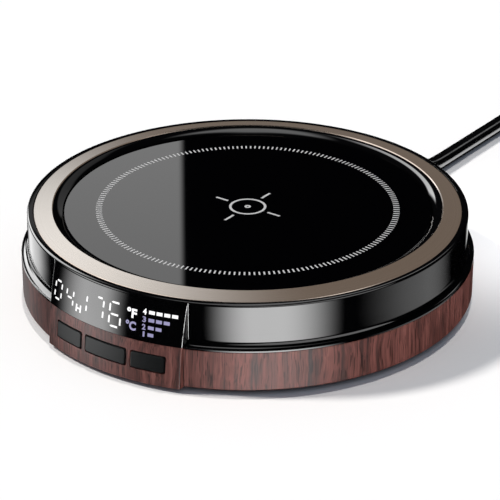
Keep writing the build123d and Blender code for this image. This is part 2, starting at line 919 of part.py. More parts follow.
def bottom_cover():
    """Black cover with feet's recesses, vents, board posts and guides, and the lead's saddle."""
    cover = ring(0, cover_radius, base_bottom, cover_top)
    cover = chamfer(cover.edges().group_by(Axis.Z)[0], cover_chamfer)
    for x, y in foot_places():
        cover -= post(x, y, base_bottom, base_bottom + foot_recess, foot_radius + fit_gap)
    for x, y in cover_bosses():
        head = cover_screw["head_radius"] + head_gap
        cover -= post(x, y, base_bottom, base_bottom + cover_head_depth, head)
        cover -= post(x, y, base_bottom, cover_top, cover_screw["shank_radius"] + screw_hole_gap)
    outline = SlotOverall(vent_outer_radius - vent_inner_radius, vent_width)
    middle = (vent_outer_radius + vent_inner_radius) / 2
    vent = extrude(Pos(middle, 0, base_bottom) * outline, cover_thickness)
    for i in range(vent_count):
        cover -= Rot(0, 0, 360 * i / vent_count) * vent
    for x, y in board_posts():
        cover += post(x, y, cover_top, main_board_under, board_post_radius)
        cover -= core_hole(x, y, main_board_top, main_board_under)
    for x, y in clamp_posts():
        cover += post(x, y, cover_top, clamp_under(), clamp_post_radius)
        cover -= core_hole(x, y, clamp_under() + clamp_bar_height, clamp_under())
    half = clamp_bar_width / 2
    saddle_top = exit_height - cord_radius
    cover += block(-half, half, clamp_y - half, clamp_y + half, base_bottom + foot_recess, saddle_top)
    return cover + board_guides()


def core_hole(x, y, head_seat, high):
    """The hole that a small screw from above cuts its thread in, a little deeper than its tip."""
    low = head_seat - board_screw["length"] - fit_gap
    return post(x, y, low, high, board_screw["shank_radius"] + screw_core_gap)


def board_guides():
    """Two slotted posts that the control board slides down into."""
    guides = []
    back = board_thickness - board_front()
    for side in (-1, 1):
        inner = control_board_half_width - guide_inset
        low_x, high_x = sorted((side * inner, side * (inner + guide_width)))
        y_low = -board_front() - guide_depth
        guide = block(low_x, high_x, y_low, back + guide_depth, cover_top, cover_top + guide_height)
        slot_x = side * (control_board_half_width + fit_gap)
        slot_low, slot_high = sorted((0, slot_x))
        slot = block(slot_low, slot_high, -board_front() - fit_gap, back + fit_gap, cover_top, far)
        guides.append(guide - slot)
    return joined(guides)


def cover_screws():
    """The screws that hold the whole body together, from below."""
    one = screw(**cover_screw)
    return joined(Pos(x, y, base_bottom + cover_head_depth) * one for x, y in cover_bosses())


def foot_places():
    """Centres of the feet."""
    return around(foot_count, rim_radius - foot_inset, foot_start_angle)


def rubber_feet():
    """Soft feet glued into the cover's recesses."""
    pad = Cylinder(foot_radius, foot_proud + foot_recess, align=on_floor)
    pad = fillet(pad.edges().group_by(Axis.Z)[0], foot_round)
    return joined(Pos(x, y, 0) * pad for x, y in foot_places())


# Mains lead.


def strain_relief():
    """Tapered grommet through the wood wall, with grip rings and an inner flange."""
    slope = (relief_root_radius - relief_tip_radius) / relief_length
    tip = base_radius + relief_length
    points = [
        (0, relief_inner),
        (relief_flange_radius, relief_inner),
        (relief_flange_radius, relief_seat),
        (relief_neck_radius, relief_seat),
        (relief_neck_radius, base_radius),
        (relief_root_radius, base_radius),
    ]
    for i in range(relief_ring_count):
        start = relief_ring_start + i * relief_ring_pitch
        end = start + relief_ring_gap
        for along, sunk in ((start, 0), (start, 1), (end, 1), (end, 0)):
            radius = relief_root_radius - along * slope - sunk * relief_ring_depth
            points.append((radius, base_radius + along))
    points += [(relief_tip_radius, tip), (0, tip)]
    relief = Pos(0, 0, exit_height) * Rot(-90, 0, 0) * lathe(points)
    return relief - block(-far, far, 0, relief_seat, 0, cover_top + fit_gap)


def clamp_posts():
    """Centres of the two posts beside the lead."""
    return [(side * clamp_half_span, clamp_y) for side in (-1, 1)]


def clamp_under():
    """Height of the clamp bar's underside, on top of the lead."""
    return exit_height + cord_radius


def cord_clamp():
    """Bar that pins the lead to the bottom cover."""
    high = clamp_under() + clamp_bar_height
    length = 2 * (clamp_half_span + clamp_post_radius)
    clamp = slab(length, clamp_bar_width, clamp_under(), high, clamp_corner, 0, clamp_y)
    for x, y in clamp_posts():
        clamp -= post(x, y, clamp_under(), high, board_screw["shank_radius"] + screw_hole_gap)
    return clamp


def clamp_screws():
    """The two screws of the clamp bar."""
    one = Rot(180, 0, 0) * screw(**board_screw)
    high = clamp_under() + clamp_bar_height
    return joined(Pos(x, y, high) * one for x, y in clamp_posts())


def cord_tail():
    """The lead inside the body: its jacket through the clamp, then its two cores."""
    tail = bar(0, exit_height, tail_end_y, relief_inner, cord_radius)
    wire_end = mains_terminal["y"] + mains_terminal["depth"] / 2 - terminal_hole_depth + fit_gap
    for side in (-1, 1):
        route = [
            (side * core_spacing / 2, tail_end_y + mains_wire_radius, exit_height),
            (side * core_spacing / 2, tail_end_y - core_straight, exit_height),
            (side * mains_wire_spacing / 2, wire_end + terminal_straight, mains_wire_height()),
            (side * mains_wire_spacing / 2, wire_end, mains_wire_height()),
        ]
        tail += tube(route, mains_wire_radius, [core_bend] * 2)
    return tail


def power_cord():
    """The free lead, from the strain relief to the coil."""
    return tube(cord_route, cord_radius, bend_radii(cord_route))


def cord_end():
    """The lead's last stretch, from the coil to the plug."""
    return tube(end_route, cord_radius, bend_radii(end_route))


def coil_form(shrink):
    """The coil's bundle of turns as a ring on the floor, shrunk all round."""
    section = RectangleRounded(coil_across - 2 * shrink, coil_tall - 2 * shrink, coil_round - shrink)
    return revolve(Plane.XZ * Pos(coil_middle_radius, coil_tall / 2) * section, Axis.Z)


def tie_zone(width):
    """The straight strip of the coil that the strap crosses."""
    return block(0, far, -width / 2, width / 2, 0, coil_tall)


def placed_coil(part):
    """Moves a piece that is modelled about the coil's own axis to its place behind the body."""
    return Pos(coil_x, coil_y, 0) * Rot(0, 0, tie_turn) * part


def cord_coil():
    """Outer form of the coil that the spare lead is wound into, pinched where its strap is."""
    groove = coil_form(0) - coil_form(tie_room)
    return placed_coil(coil_form(0) - (groove & tie_zone(tie_width + 2 * tie_slack)))


def cord_tie():
    """Strap round the coil's turns."""
    return placed_coil((coil_form(0) - coil_form(tie_thickness)) & tie_zone(tie_width))


def plug_body():
    """Moulded plug, widening towards its blades, with a tapered relief and finger grips."""
    middle = plug_height / 2
    back = Plane((plug_x, plug_back_y, middle), x_dir=(1, 0, 0), z_dir=(0, -1, 0))
    waist = back * RectangleRounded(plug_waist_width, plug_waist_height, plug_round)
    full = back.offset(plug_taper) * RectangleRounded(plug_width, plug_height, plug_round)
    body = loft([waist, full])
    body += extrude(full, plug_length - plug_taper)
    relief = Cone(plug_relief_root, plug_relief_tip, plug_relief_length, align=on_floor)
    body += Pos(plug_x, plug_back_y, middle) * Rot(-90, 0, 0) * relief
    for i in range(plug_grip_count):
        y = plug_back_y - plug_taper - plug_grip_start - i * plug_grip_pitch
        for side in (-1, 1):
            x = plug_x + side * plug_width / 2
            low = x - plug_grip_depth
            body -= block(low, x + plug_grip_depth, y - plug_grip_width, y, 0, plug_height)
    return body


def plug_blades():
    """Two flat blades, each with its hole."""
    front = plug_back_y - plug_length
    low = (plug_height - blade_height) / 2
    blades = []
    for side in (-1, 1):
        x = plug_x + side * blade_spacing / 2
        half = blade_thickness / 2
        blade = block(x - half, x + half, front - blade_length, front, low, low + blade_height)
        tip = blade.edges().filter_by(Axis.Z).group_by(Axis.Y)[0]
        blade = chamfer(tip, blade_chamfer)
        hole_y = front - blade_length + blade_hole_from_tip
        across = Pos(x, hole_y, plug_height / 2) * Rot(0, 90, 0)
        blades.append(blade - across * Cylinder(blade_hole_radius, 2 * blade_thickness))
    return joined(blades)


def parts():
    """Every node by its name."""
    made = {
        "upper_housing": upper_housing(),
        "trim_ring": trim_ring(),
        "panel_bezel": panel_bezel(),
        "glass_panel": glass_panel(),
        "panel_gasket": panel_gasket(),
        "heat_spreader": heat_spreader(),
        "heating_element": heating_element(),
        "insulation_pad": insulation_pad(),
        "heater_bracket": heater_bracket(),
        "bracket_screws": bracket_screws(),
        "thermistor": thermistor(),
        "thermal_fuse": thermal_fuse(),
        "fuse_clip": fuse_clip(),
        "base_shell": base_shell(),
        "control_fascia": control_fascia(),
        "display_lens": display_lens(),
        "led_display": led_display(),
        "control_board": control_board(),
        "main_board": main_board(),
        "board_screws": board_screws(),
        "film_capacitor": film_capacitor(),
        "choke": choke(),
        "triac": triac(),
        "controller_chip": controller_chip(),
        "terminal_block": terminal_block(),
        "heater_connector": heater_connector(),
        "sensor_connector": sensor_connector(),
        "display_connector": display_connector(),
        "heater_leads": heater_leads(),
        "sensor_leads": sensor_leads(),
        "display_harness": display_harness(),
        "bottom_cover": bottom_cover(),
        "cover_screws": cover_screws(),
        "rubber_feet": rubber_feet(),
        "strain_relief": strain_relief(),
        "cord_clamp": cord_clamp(),
        "clamp_screws": clamp_screws(),
        "cord_tail": cord_tail(),
        "power_cord": power_cord(),
        "cord_coil": cord_coil(),
        "cord_end": cord_end(),
        "cord_tie": cord_tie(),
        "plug_body": plug_body(),
        "plug_blades": plug_blades(),
    }
    for name in button_names:
        made[name + "_button"] = button_cap(name)
        made[name + "_switch"] = switch(name)
        made[name + "_plunger"] = plunger(name)
    return made


def cord_report(name, route, solid):
    """Prints a cord's bend radii, and its volume beside its section times its length."""
    length = FilletPolyline(*route, radius=bend_radii(route)).length
    radii = ", ".join(f"{radius:.0f}" for radius in bend_radii(route))
    print(f"{name}: length {length:.1f} mm, bend radii {radii} mm")
    print(f"{name}: volume {solid.volume:.1f}, section x length {pi * cord_radius**2 * length:.1f}")


def main():
    """Writes one STEP file for each node."""
    os.makedirs("parts", exist_ok=True)
    made = parts()
    for name, part in made.items():
        export_step(part, f"parts/{name}.step")
    cord_report("power_cord", cord_route, made["power_cord"])
    cord_report("cord_end", end_route, made["cord_end"])


main()
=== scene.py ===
import json
import math

import bpy
from mathutils import Matrix, Vector


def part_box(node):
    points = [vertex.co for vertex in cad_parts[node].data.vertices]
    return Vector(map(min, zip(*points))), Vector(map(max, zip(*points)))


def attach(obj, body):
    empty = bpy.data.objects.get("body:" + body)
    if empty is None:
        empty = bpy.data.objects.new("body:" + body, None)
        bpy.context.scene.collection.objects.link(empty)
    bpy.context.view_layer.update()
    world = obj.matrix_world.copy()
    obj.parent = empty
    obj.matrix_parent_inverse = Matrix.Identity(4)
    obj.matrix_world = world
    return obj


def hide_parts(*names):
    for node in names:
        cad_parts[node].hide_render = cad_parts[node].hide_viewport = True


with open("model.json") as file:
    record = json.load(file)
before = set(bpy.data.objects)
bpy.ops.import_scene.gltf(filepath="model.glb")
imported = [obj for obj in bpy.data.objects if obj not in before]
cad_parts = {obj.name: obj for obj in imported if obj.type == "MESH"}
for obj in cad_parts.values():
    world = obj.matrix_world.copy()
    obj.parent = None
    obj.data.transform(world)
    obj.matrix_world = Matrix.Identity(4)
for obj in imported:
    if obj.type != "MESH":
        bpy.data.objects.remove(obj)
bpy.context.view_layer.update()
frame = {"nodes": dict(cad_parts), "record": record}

# Electric mug warmer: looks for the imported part. Metres, +Z up, the display faces -Y.
mm = 0.001
nodes = frame["nodes"]
scene = bpy.context.scene


def colour(hexValue):
    # sRGB hex to linear
    parts = [int(hexValue[i : i + 2], 16) / 255 for i in (1, 3, 5)]
    linear = [c / 12.92 if c <= 0.04045 else ((c + 0.055) / 1.055) ** 2.4 for c in parts]
    return (*linear, 1.0)


def onCircle(radius, angle, height):
    # a point by radius, angle from +X towards +Y, and height
    return Vector((radius * math.cos(angle), radius * math.sin(angle), height))


def towards(compass, height):
    # a direction by its compass angle, from +X towards +Y, and its height angle
    flat = math.cos(height)
    return Vector((flat * math.cos(compass), flat * math.sin(compass), math.sin(height)))


def addObject(name, data):
    made = bpy.data.objects.new(name, data)
    scene.collection.objects.link(made)
    return made


# Camera

cameraSet = {
    # metres, but the lens and the sensor in mm
    "place": (0.306007, -0.430593, 0.270346),
    "target": (0.011896, -0.015705, 0.02),
    "lens": 153.8,
    "sensor": 36.0,
    "near": 0.01,
    "far": 60.0,
}


def makeCamera():
    cameraData = bpy.data.cameras.new("mainCamera")
    cameraData.lens = cameraSet["lens"]
    cameraData.sensor_width = cameraSet["sensor"]
    cameraData.clip_start = cameraSet["near"]
    cameraData.clip_end = cameraSet["far"]
    camera = addObject("mainCamera", cameraData)
    place = Vector(cameraSet["place"])
    aim = Vector(cameraSet["target"]) - place
    camera.location = place
    camera.rotation_euler = aim.to_track_quat("-Z", "Y").to_euler()
    scene.camera = camera


# Mains lead: one curve from the strain relief, through the coil, to the plug

leadSet = {
    "radius": 2.35,  # mm, as all that follows
    "roundSteps": 6,  # Blender's bevel resolution, which gives it 16 sides
    "lineSteps": 6,  # steps from each point of the route to the next
    "route": [
        (0.0, 76.0, 5.6),
        (0.0, 81.0, 5.6),
        (1.1, 86.0, 4.6),
        (3.0, 91.0, 3.05),
        (3.4, 95.5, 2.5),
        (3.3, 113.0, 2.35),
        (3.5, 136.0, 2.35),
        (3.4, 152.0, 2.35),
        (1.1, 177.0, 2.35),
    ],
    "endRoute": [
        (58.6, 172.6, 7.0),
        (56.3, 166.0, 6.8),
        (53.3, 159.8, 6.6),
        (51.1, 154.4, 6.5),
        (50.5, 149.0, 6.5),
    ],
    "length": 1.1,  # metres
    "pieces": ("strain_relief", "plug_body", "plug_blades", "cord_tie"),
}
coilSet = {
    "centre": (30.0, 186.0),
    "middleRadius": 23.6,
    "startAngle": 183.0,
    "turns": 6.5642,
    "climb": 0.5,  # turns that it takes to get up to the second layer
    "pointsPerTurn": 16,
    "looseColumn": 7.8,  # outermost turn's centre from the bundle's middle
    "tightColumn": 7.05,
    "lowLayer": 2.35,
    "highLayer": 7.2,
    "tightLow": 3.2,
    "tightHigh": 7.9,
    "tieAngle": 250.0,
    "tieReach": 40.0,  # the strap draws the turns together over this angle,
    "tieHold": 0.25,  # and wholly over this share of it
}


def smoothStep(value):
    value = min(max(value, 0.0), 1.0)
    return value * value * (3 - 2 * value)


def coilPoints():
    # the turns go in along the floor and come out in a second layer on top
    climb = coilSet["climb"]
    layerTurns = (coilSet["turns"] - climb) / 2
    count = round(coilSet["turns"] * coilSet["pointsPerTurn"])
    # a spline of order 3 cuts inside its points by this share
    inside = (3 + math.cos(2 * math.pi / coilSet["pointsPerTurn"])) / 4
    points = []
    for i in range(count + 1):
        turn = coilSet["turns"] * i / count
        if turn < layerTurns:
            column, layer = 1 - 2 * turn / layerTurns, 0.0
        elif turn < layerTurns + climb:
            column, layer = -1.0, smoothStep((turn - layerTurns) / climb)
        else:
            column, layer = 2 * (turn - layerTurns - climb) / layerTurns - 1, 1.0
        degrees = coilSet["startAngle"] - 360 * turn
        offTie = abs((degrees - coilSet["tieAngle"] + 180) % 360 - 180)
        tight = 1 - smoothStep(offTie / coilSet["tieReach"] - coilSet["tieHold"])
        reach = coilSet["looseColumn"] + tight * (coilSet["tightColumn"] - coilSet["looseColumn"])
        low = coilSet["lowLayer"] + tight * (coilSet["tightLow"] - coilSet["lowLayer"])
        high = coilSet["highLayer"] + tight * (coilSet["tightHigh"] - coilSet["highLayer"])
        radius = (coilSet["middleRadius"] + column * reach) / inside
        spot = onCircle(radius, math.radians(degrees), low + layer * (high - low))
        points.append((spot.x + coilSet["centre"][0], spot.y + coilSet["centre"][1], spot.z))
    return points


def makeLead():
    points = leadSet["route"] + coilPoints() + leadSet["endRoute"]
    curve = bpy.data.curves.new("mainsLead", "CURVE")
    curve.dimensions = "3D"
    curve.bevel_depth = 1.0  # times each point's radius, by which Blender boxes a curve
    curve.bevel_resolution = leadSet["roundSteps"]
    curve.resolution_u = leadSet["lineSteps"]
    curve.use_fill_caps = True
    spline = curve.splines.new("NURBS")
    spline.points.add(len(points) - 1)
    for point, place in zip(spline.points, points):
        point.co = (place[0] * mm, place[1] * mm, place[2] * mm, 1.0)
        point.radius = leadSet["radius"] * mm
    spline.order_u = 3
    spline.use_endpoint_u = True
    lead = addObject("mainsLead", curve)
    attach(lead, "housing")
    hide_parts("power_cord", "cord_coil", "cord_end")
    return lead


makeCamera()
mainsLead = makeLead()
print("camera and lead made")


# Finishes

def addNode(tree, kind, values=None, links=None, stops=None, **settings):
    # adds a node with its settings, socket values, incoming links and colour stops
    node = tree.nodes.new("ShaderNode" + kind)
    for key, value in settings.items():
        setattr(node, key, value)
    for socket, value in (values or {}).items():
        node.inputs[socket].default_value = value
    for socket, source in (links or {}).items():
        tree.links.new(source, node.inputs[socket])
    if stops:
        elements = node.color_ramp.elements
        elements[0].position, elements[1].position = 0.0, 1.0
        for where, tone in stops.items():
            elements.new(where).color = colour(tone)
        elements.remove(elements[len(elements) - 1])  # the two that every new ramp has
        elements.remove(elements[0])
    return node


def newFinish(name):
    finish = bpy.data.materials.new(name)
    finish.use_nodes = True
    finish.node_tree.nodes.clear()
    return finish, finish.node_tree


def newPatterned(name):
    # a finish whose pattern is laid in the object's own coordinates
    finish, tree = newFinish(name)
    return finish, tree, addNode(tree, "TexCoord").outputs["Object"]


def closeFinish(finish, shader):
    addNode(finish.node_tree, "OutputMaterial", links={"Surface": shader.outputs[0]})
    return finish


def perMetre(size):
    # scale of a pattern whose marks are this many mm wide
    return 1 / (size * mm)


noiseLow, noiseHigh = 0.3, 0.7  # nearly all of a noise lies between these

# In each finish's values sizes are in mm, "rough" is its lowest and highest roughness, and
# "bump" the strength and height of its relief.
glossSet = {
    "tone": "#060607",
    "ior": 1.53,
    "wave": 9,
    "bump": (0.02, 0.2),
    "film": 14,
    "rough": (0.03, 0.06),
}


def glossBlackAbs():
    # ABS moulded in a polished tool: deep black, mirror-like, with a very slight long wave
    finish, tree, place = newPatterned("glossBlackAbs")
    scale = perMetre(glossSet["wave"])
    wave = addNode(tree, "TexNoise", {"Scale": scale, "Detail": 1.0}, {"Vector": place})
    scale = perMetre(glossSet["film"])
    film = addNode(tree, "TexNoise", {"Scale": scale, "Detail": 3.0}, {"Vector": place})
    low, high = glossSet["rough"]
    gloss = addNode(tree, "MapRange", {"To Min": low, "To Max": high}, {"Value": film.outputs["Fac"]})
    strength, relief = glossSet["bump"]
    bump = addNode(
        tree, "Bump", {"Strength": strength, "Distance": relief * mm}, {"Height": wave.outputs["Fac"]}
    )
    shader = addNode(
        tree,
        "BsdfPrincipled",
        {"Base Color": colour(glossSet["tone"]), "IOR": glossSet["ior"]},
        {"Roughness": gloss.outputs[0], "Normal": bump.outputs[0]},
    )
    return closeFinish(finish, shader)


champagneSet = {
    "tones": {0.3: "#D3C4B7", 0.7: "#DCCEC2"},
    "ring": 0.4,  # rings 0.15 mm apart would not show
    "detail": 3.0,
    "contrast": 0.7,
    "rough": (0.13, 0.19),
}


def champagneAluminium():
    # anodised aluminium, turned on a lathe: fine rings that draw each light out along the turn
    finish, tree, place = newPatterned("champagneAluminium")
    split = addNode(tree, "SeparateXYZ", links={"Vector": place})
    flat = addNode(tree, "CombineXYZ", links={"X": split.outputs["X"], "Y": split.outputs["Y"]})
    radius = addNode(tree, "VectorMath", links={0: flat.outputs[0]}, operation="LENGTH")
    across = addNode(tree, "CombineXYZ", links={"X": radius.outputs["Value"]})
    rings = addNode(
        tree,
        "TexNoise",
        {
            "Scale": perMetre(champagneSet["ring"]),
            "Detail": champagneSet["detail"],
            "Roughness": champagneSet["contrast"],
        },
        {"Vector": across.outputs[0]},
    )
    tone = addNode(tree, "ValToRGB", links={"Fac": rings.outputs["Fac"]}, stops=champagneSet["tones"])
    low, high = champagneSet["rough"]
    rough = addNode(tree, "MapRange", {"To Min": low, "To Max": high}, {"Value": rings.outputs["Fac"]})
    shader = addNode(
        tree,
        "BsdfPrincipled",
        {"Metallic": 1.0},
        {"Base Color": tone.outputs[0], "Roughness": rough.outputs[0]},
    )
    return closeFinish(finish, shader)


# One row for each mirror-like panel: its tone and IOR, size and detail of its wiped film,
# and its lowest and highest roughness.
panelFinishes = {
    # black ceramic-coated glass: flat and mirror-like, with faint wiped film
    "blackPlateGlass": ("#020203", 1.52, 25, 4.0, 0.01, 0.022),
    # smoked polycarbonate window, moulded: black until lit from behind
    "smokedWindow": ("#050506", 1.58, 6, 3.0, 0.05, 0.09),
}


def panelFinish(name):
    tone, ior, size, detail, low, high = panelFinishes[name]
    finish, tree, place = newPatterned(name)
    film = addNode(tree, "TexNoise", {"Scale": perMetre(size), "Detail": detail}, {"Vector": place})
    gloss = addNode(tree, "MapRange", {"To Min": low, "To Max": high}, {"Value": film.outputs["Fac"]})
    shader = addNode(
        tree,
        "BsdfPrincipled",
        {"Base Color": colour(tone), "IOR": ior},
        {"Roughness": gloss.outputs[0]},
    )
    return closeFinish(finish, shader)


rosewoodSet = {
    "bend": 9,  # the grain wanders over this length,
    "drift": 1.6,  # by up to about this much,
    "stretch": 0.035,  # and runs upright, 29 times as long as wide
    # layer: its width, and the detail and roughness of its noise; real pores are too fine to show
    "layers": {
        "band": (4.2, 2.0, 0.5),
        "streak": (1.5, 2.0, 0.6),
        "fine": (0.6, 2.0, 0.55),
        "pore": (0.36, 1.0, 0.5),
    },
    "streakShare": 0.55,
    "fineShare": 0.3,
    "poreShare": 0.75,
    "tones": {
        0.36: "#342727",
        0.42: "#513430",
        0.48: "#683E38",
        0.54: "#7A4A43",
        0.6: "#8A554D",
        0.68: "#704E49",
    },
    "poreTones": {0.34: "#6A5C5A", 0.44: "#FFFFFF"},
    "rough": (0.34, 0.46),
    "bump": (0.25, 0.04),
    "ior": 1.48,
}


def rosewoodFilm():
    # rosewood-grain film, printed and satin lacquered: fine upright grain in red-brown tones
    finish, tree, place = newPatterned("rosewoodFilm")
    scale = perMetre(rosewoodSet["bend"])
    bend = addNode(tree, "TexNoise", {"Scale": scale, "Detail": 2.0}, {"Vector": place})
    shift = addNode(
        tree,
        "VectorMath",
        {1: (0.5, 0.5, 0.5)},  # noise runs from 0 to 1 about its middle
        {0: bend.outputs["Color"]},
        operation="SUBTRACT",
    )
    drift = addNode(
        tree,
        "VectorMath",
        {1: (rosewoodSet["drift"] * mm,) * 3},
        {0: shift.outputs[0]},
        operation="MULTIPLY",
    )
    bent = addNode(tree, "VectorMath", links={0: place, 1: drift.outputs[0]}, operation="ADD")
    stretch = (1.0, 1.0, rosewoodSet["stretch"])
    upright = addNode(tree, "Mapping", {"Scale": stretch}, {"Vector": bent.outputs[0]})
    layers = {}
    for layer, (width, detail, roughness) in rosewoodSet["layers"].items():
        layers[layer] = addNode(
            tree,
            "TexNoise",
            {"Scale": perMetre(width), "Detail": detail, "Roughness": roughness},
            {"Vector": upright.outputs[0]},
        ).outputs["Fac"]
    coarse = addNode(
        tree,
        "Mix",
        {"Factor": rosewoodSet["streakShare"]},
        {2: layers["band"], 3: layers["streak"]},  # 2 and 3 are the two numbers
    )
    mixed = addNode(
        tree, "Mix", {"Factor": rosewoodSet["fineShare"]}, {2: coarse.outputs[0], 3: layers["fine"]}
    )
    tone = addNode(tree, "ValToRGB", links={"Fac": mixed.outputs[0]}, stops=rosewoodSet["tones"])
    dark = addNode(tree, "ValToRGB", links={"Fac": layers["pore"]}, stops=rosewoodSet["poreTones"])
    wood = addNode(
        tree,
        "Mix",
        {0: rosewoodSet["poreShare"]},
        {6: tone.outputs[0], 7: dark.outputs[0]},  # 6 and 7 are the two colours
        data_type="RGBA",
        blend_type="MULTIPLY",
    )
    low, high = rosewoodSet["rough"]
    rough = addNode(tree, "MapRange", {"To Min": low, "To Max": high}, {"Value": layers["streak"]})
    strength, relief = rosewoodSet["bump"]
    bump = addNode(
        tree, "Bump", {"Strength": strength, "Distance": relief * mm}, {"Height": layers["pore"]}
    )
    shader = addNode(
        tree,
        "BsdfPrincipled",
        {"IOR": rosewoodSet["ior"]},
        {"Base Color": wood.outputs[2], "Roughness": rough.outputs[0], "Normal": bump.outputs[0]},
    )
    return closeFinish(finish, shader)


# One row for each moulded, pressed or plated finish: two tones, the lowest and highest
# roughness, the size of its grain and the height of its relief in mm, metallic and IOR.
plainFinishes = {
    # ABS with a fine spark texture: charcoal, soft sheen
    "charcoalAbs": ("#131516", "#1A1D1E", 0.42, 0.5, 0.35, 0.005, 0.0, 1.46),
    # polypropylene cover, moulded with a leather-like texture: black, dull
    "texturedPolypropylene": ("#101012", "#191A1C", 0.5, 0.66, 0.6, 0.03, 0.0, 1.49),
    # moulded rubber: dark grey, dusty
    "footRubber": ("#1B1B1C", "#272728", 0.75, 0.92, 0.8, 0.02, 0.0, 1.52),
    # silicone adhesive: milky grey, smooth
    "siliconeBead": ("#8E9092", "#9DA0A1", 0.35, 0.5, 4.0, 0.02, 0.0, 1.41),
    # rolled aluminium sheet: pale, with a soft sheen
    "rolledAluminium": ("#C6C8CA", "#D4D6D8", 0.3, 0.42, 1.6, 0.003, 1.0, 1.5),
    # pressed mica sheet: golden flakes
    "pressedMica": ("#8C7448", "#B59C6A", 0.3, 0.6, 1.2, 0.01, 0.0, 1.58),
    # ceramic fibre felt: chalk white, matted
    "ceramicFelt": ("#D9D5CC", "#EFECE6", 0.9, 1.0, 0.9, 0.15, 0.0, 1.5),
    # galvanised steel, pressed: grey with faint spangle
    "galvanisedSteel": ("#A2A6AA", "#B9BDC0", 0.32, 0.48, 3.0, 0.004, 1.0, 1.5),
    # zinc-plated steel screws: bright blue-grey
    "zincPlate": ("#B4B9BF", "#C6CACE", 0.2, 0.32, 0.5, 0.003, 1.0, 1.5),
    # epoxy-dipped sensor: near black, glossy
    "dippedEpoxy": ("#17181A", "#222326", 0.2, 0.3, 1.5, 0.01, 0.0, 1.55),
    # tinned brass can: pale, slightly warm
    "tinnedCan": ("#B5B3AC", "#C9C8C2", 0.22, 0.36, 0.7, 0.003, 1.0, 1.5),
    # white nylon, as moulded: wells and connectors
    "whiteNylon": ("#D2D0C6", "#E2E0D8", 0.4, 0.52, 1.0, 0.006, 0.0, 1.53),
    # black thermoplastic switch body: satin
    "switchThermoplastic": ("#121213", "#1C1C1E", 0.36, 0.48, 0.7, 0.006, 0.0, 1.53),
    # acetal plunger: cream, waxy
    "creamAcetal": ("#CBBFA4", "#D8CDB6", 0.32, 0.42, 1.0, 0.004, 0.0, 1.48),
    # polypropylene capacitor case: brick red
    "redCapacitor": ("#7A1F16", "#8C2B20", 0.36, 0.48, 0.8, 0.006, 0.0, 1.49),
    # sintered ferrite: charcoal, dull and grainy
    "sinteredFerrite": ("#1D1E20", "#2D2E31", 0.6, 0.8, 0.3, 0.015, 0.0, 1.6),
    # moulded epoxy packages: black, dull
    "mouldedEpoxy": ("#0F1012", "#18191C", 0.52, 0.66, 0.25, 0.008, 0.0, 1.55),
    # polyamide terminal: green, satin
    "greenPolyamide": ("#1E5B37", "#276B43", 0.36, 0.5, 0.9, 0.006, 0.0, 1.53),
    # PVC wire insulation: cream, soft sheen
    "wirePvc": ("#C9C2B2", "#D6D0C2", 0.34, 0.46, 1.2, 0.004, 0.0, 1.54),
    # extruded PVC lead: black, glossy, with a faint long wave from drawing
    "leadPvc": ("#060607", "#0B0B0C", 0.12, 0.2, 5.0, 0.02, 0.0, 1.54),
    # moulded PVC plug: black satin
    "plugPvc": ("#0E0E10", "#161618", 0.34, 0.46, 0.5, 0.008, 0.0, 1.54),
    # nickel-plated brass blades: warm silver
    "nickelPlate": ("#BDB7A8", "#CDC8BB", 0.18, 0.3, 0.8, 0.002, 1.0, 1.5),
}


def plainFinish(name):
    darkTone, lightTone, roughLow, roughHigh, grain, relief, metallic, ior = plainFinishes[name]
    finish, tree, place = newPatterned(name)
    noise = addNode(
        tree,
        "TexNoise",
        {"Scale": perMetre(grain), "Detail": 3.0, "Roughness": 0.6},
        {"Vector": place},
    )
    tone = addNode(
        tree,
        "ValToRGB",
        links={"Fac": noise.outputs["Fac"]},
        stops={noiseLow: darkTone, noiseHigh: lightTone},
    )
    rough = addNode(
        tree,
        "MapRange",
        {"From Min": noiseLow, "From Max": noiseHigh, "To Min": roughLow, "To Max": roughHigh},
        {"Value": noise.outputs["Fac"]},
    )
    bump = addNode(
        tree, "Bump", {"Strength": 1.0, "Distance": relief * mm}, {"Height": noise.outputs["Fac"]}
    )
    shader = addNode(
        tree,
        "BsdfPrincipled",
        {"Metallic": metallic, "IOR": ior},
        {"Base Color": tone.outputs[0], "Roughness": rough.outputs[0], "Normal": bump.outputs[0]},
    )
    return closeFinish(finish, shader)


solderSet = {
    "boards": ("#0C3B20", "#0F4526"),
    "track": "#2C7A45",
    "pitch": 9,
    "line": 0.06,  # share of the pitch that is copper
    "rough": (0.42, 0.3),
    "bump": (0.6, 0.035),
    "ior": 1.52,
}


def solderMask():
    # glass-epoxy board with green solder mask: copper tracks show through as paler lines
    finish, tree, place = newPatterned("solderMask")
    tracks = addNode(
        tree,
        "TexBrick",
        {
            "Color1": colour(solderSet["boards"][0]),
            "Color2": colour(solderSet["boards"][1]),
            "Mortar": colour(solderSet["track"]),
            "Scale": perMetre(solderSet["pitch"]),
            "Mortar Size": solderSet["line"],
        },
        {"Vector": place},
    )
    low, high = solderSet["rough"]
    rough = addNode(tree, "MapRange", {"To Min": low, "To Max": high}, {"Value": tracks.outputs["Fac"]})
    strength, relief = solderSet["bump"]
    bump = addNode(
        tree,
        "Bump",
        {"Strength": strength, "Distance": relief * mm},
        {"Height": tracks.outputs["Fac"]},
    )
    shader = addNode(
        tree,
        "BsdfPrincipled",
        {"IOR": solderSet["ior"]},
        {
            "Base Color": tracks.outputs["Color"],
            "Roughness": rough.outputs[0],
            "Normal": bump.outputs[0],
        },
    )
    return closeFinish(finish, shader)


loopSet = {
    "loop": 0.55,
    "tones": {0.1: "#26272A", 0.7: "#0B0B0D"},
    "bump": (1.0, 0.12),
    "rough": 0.9,
    "sheen": (0.4, 0.5),  # weight and roughness
}


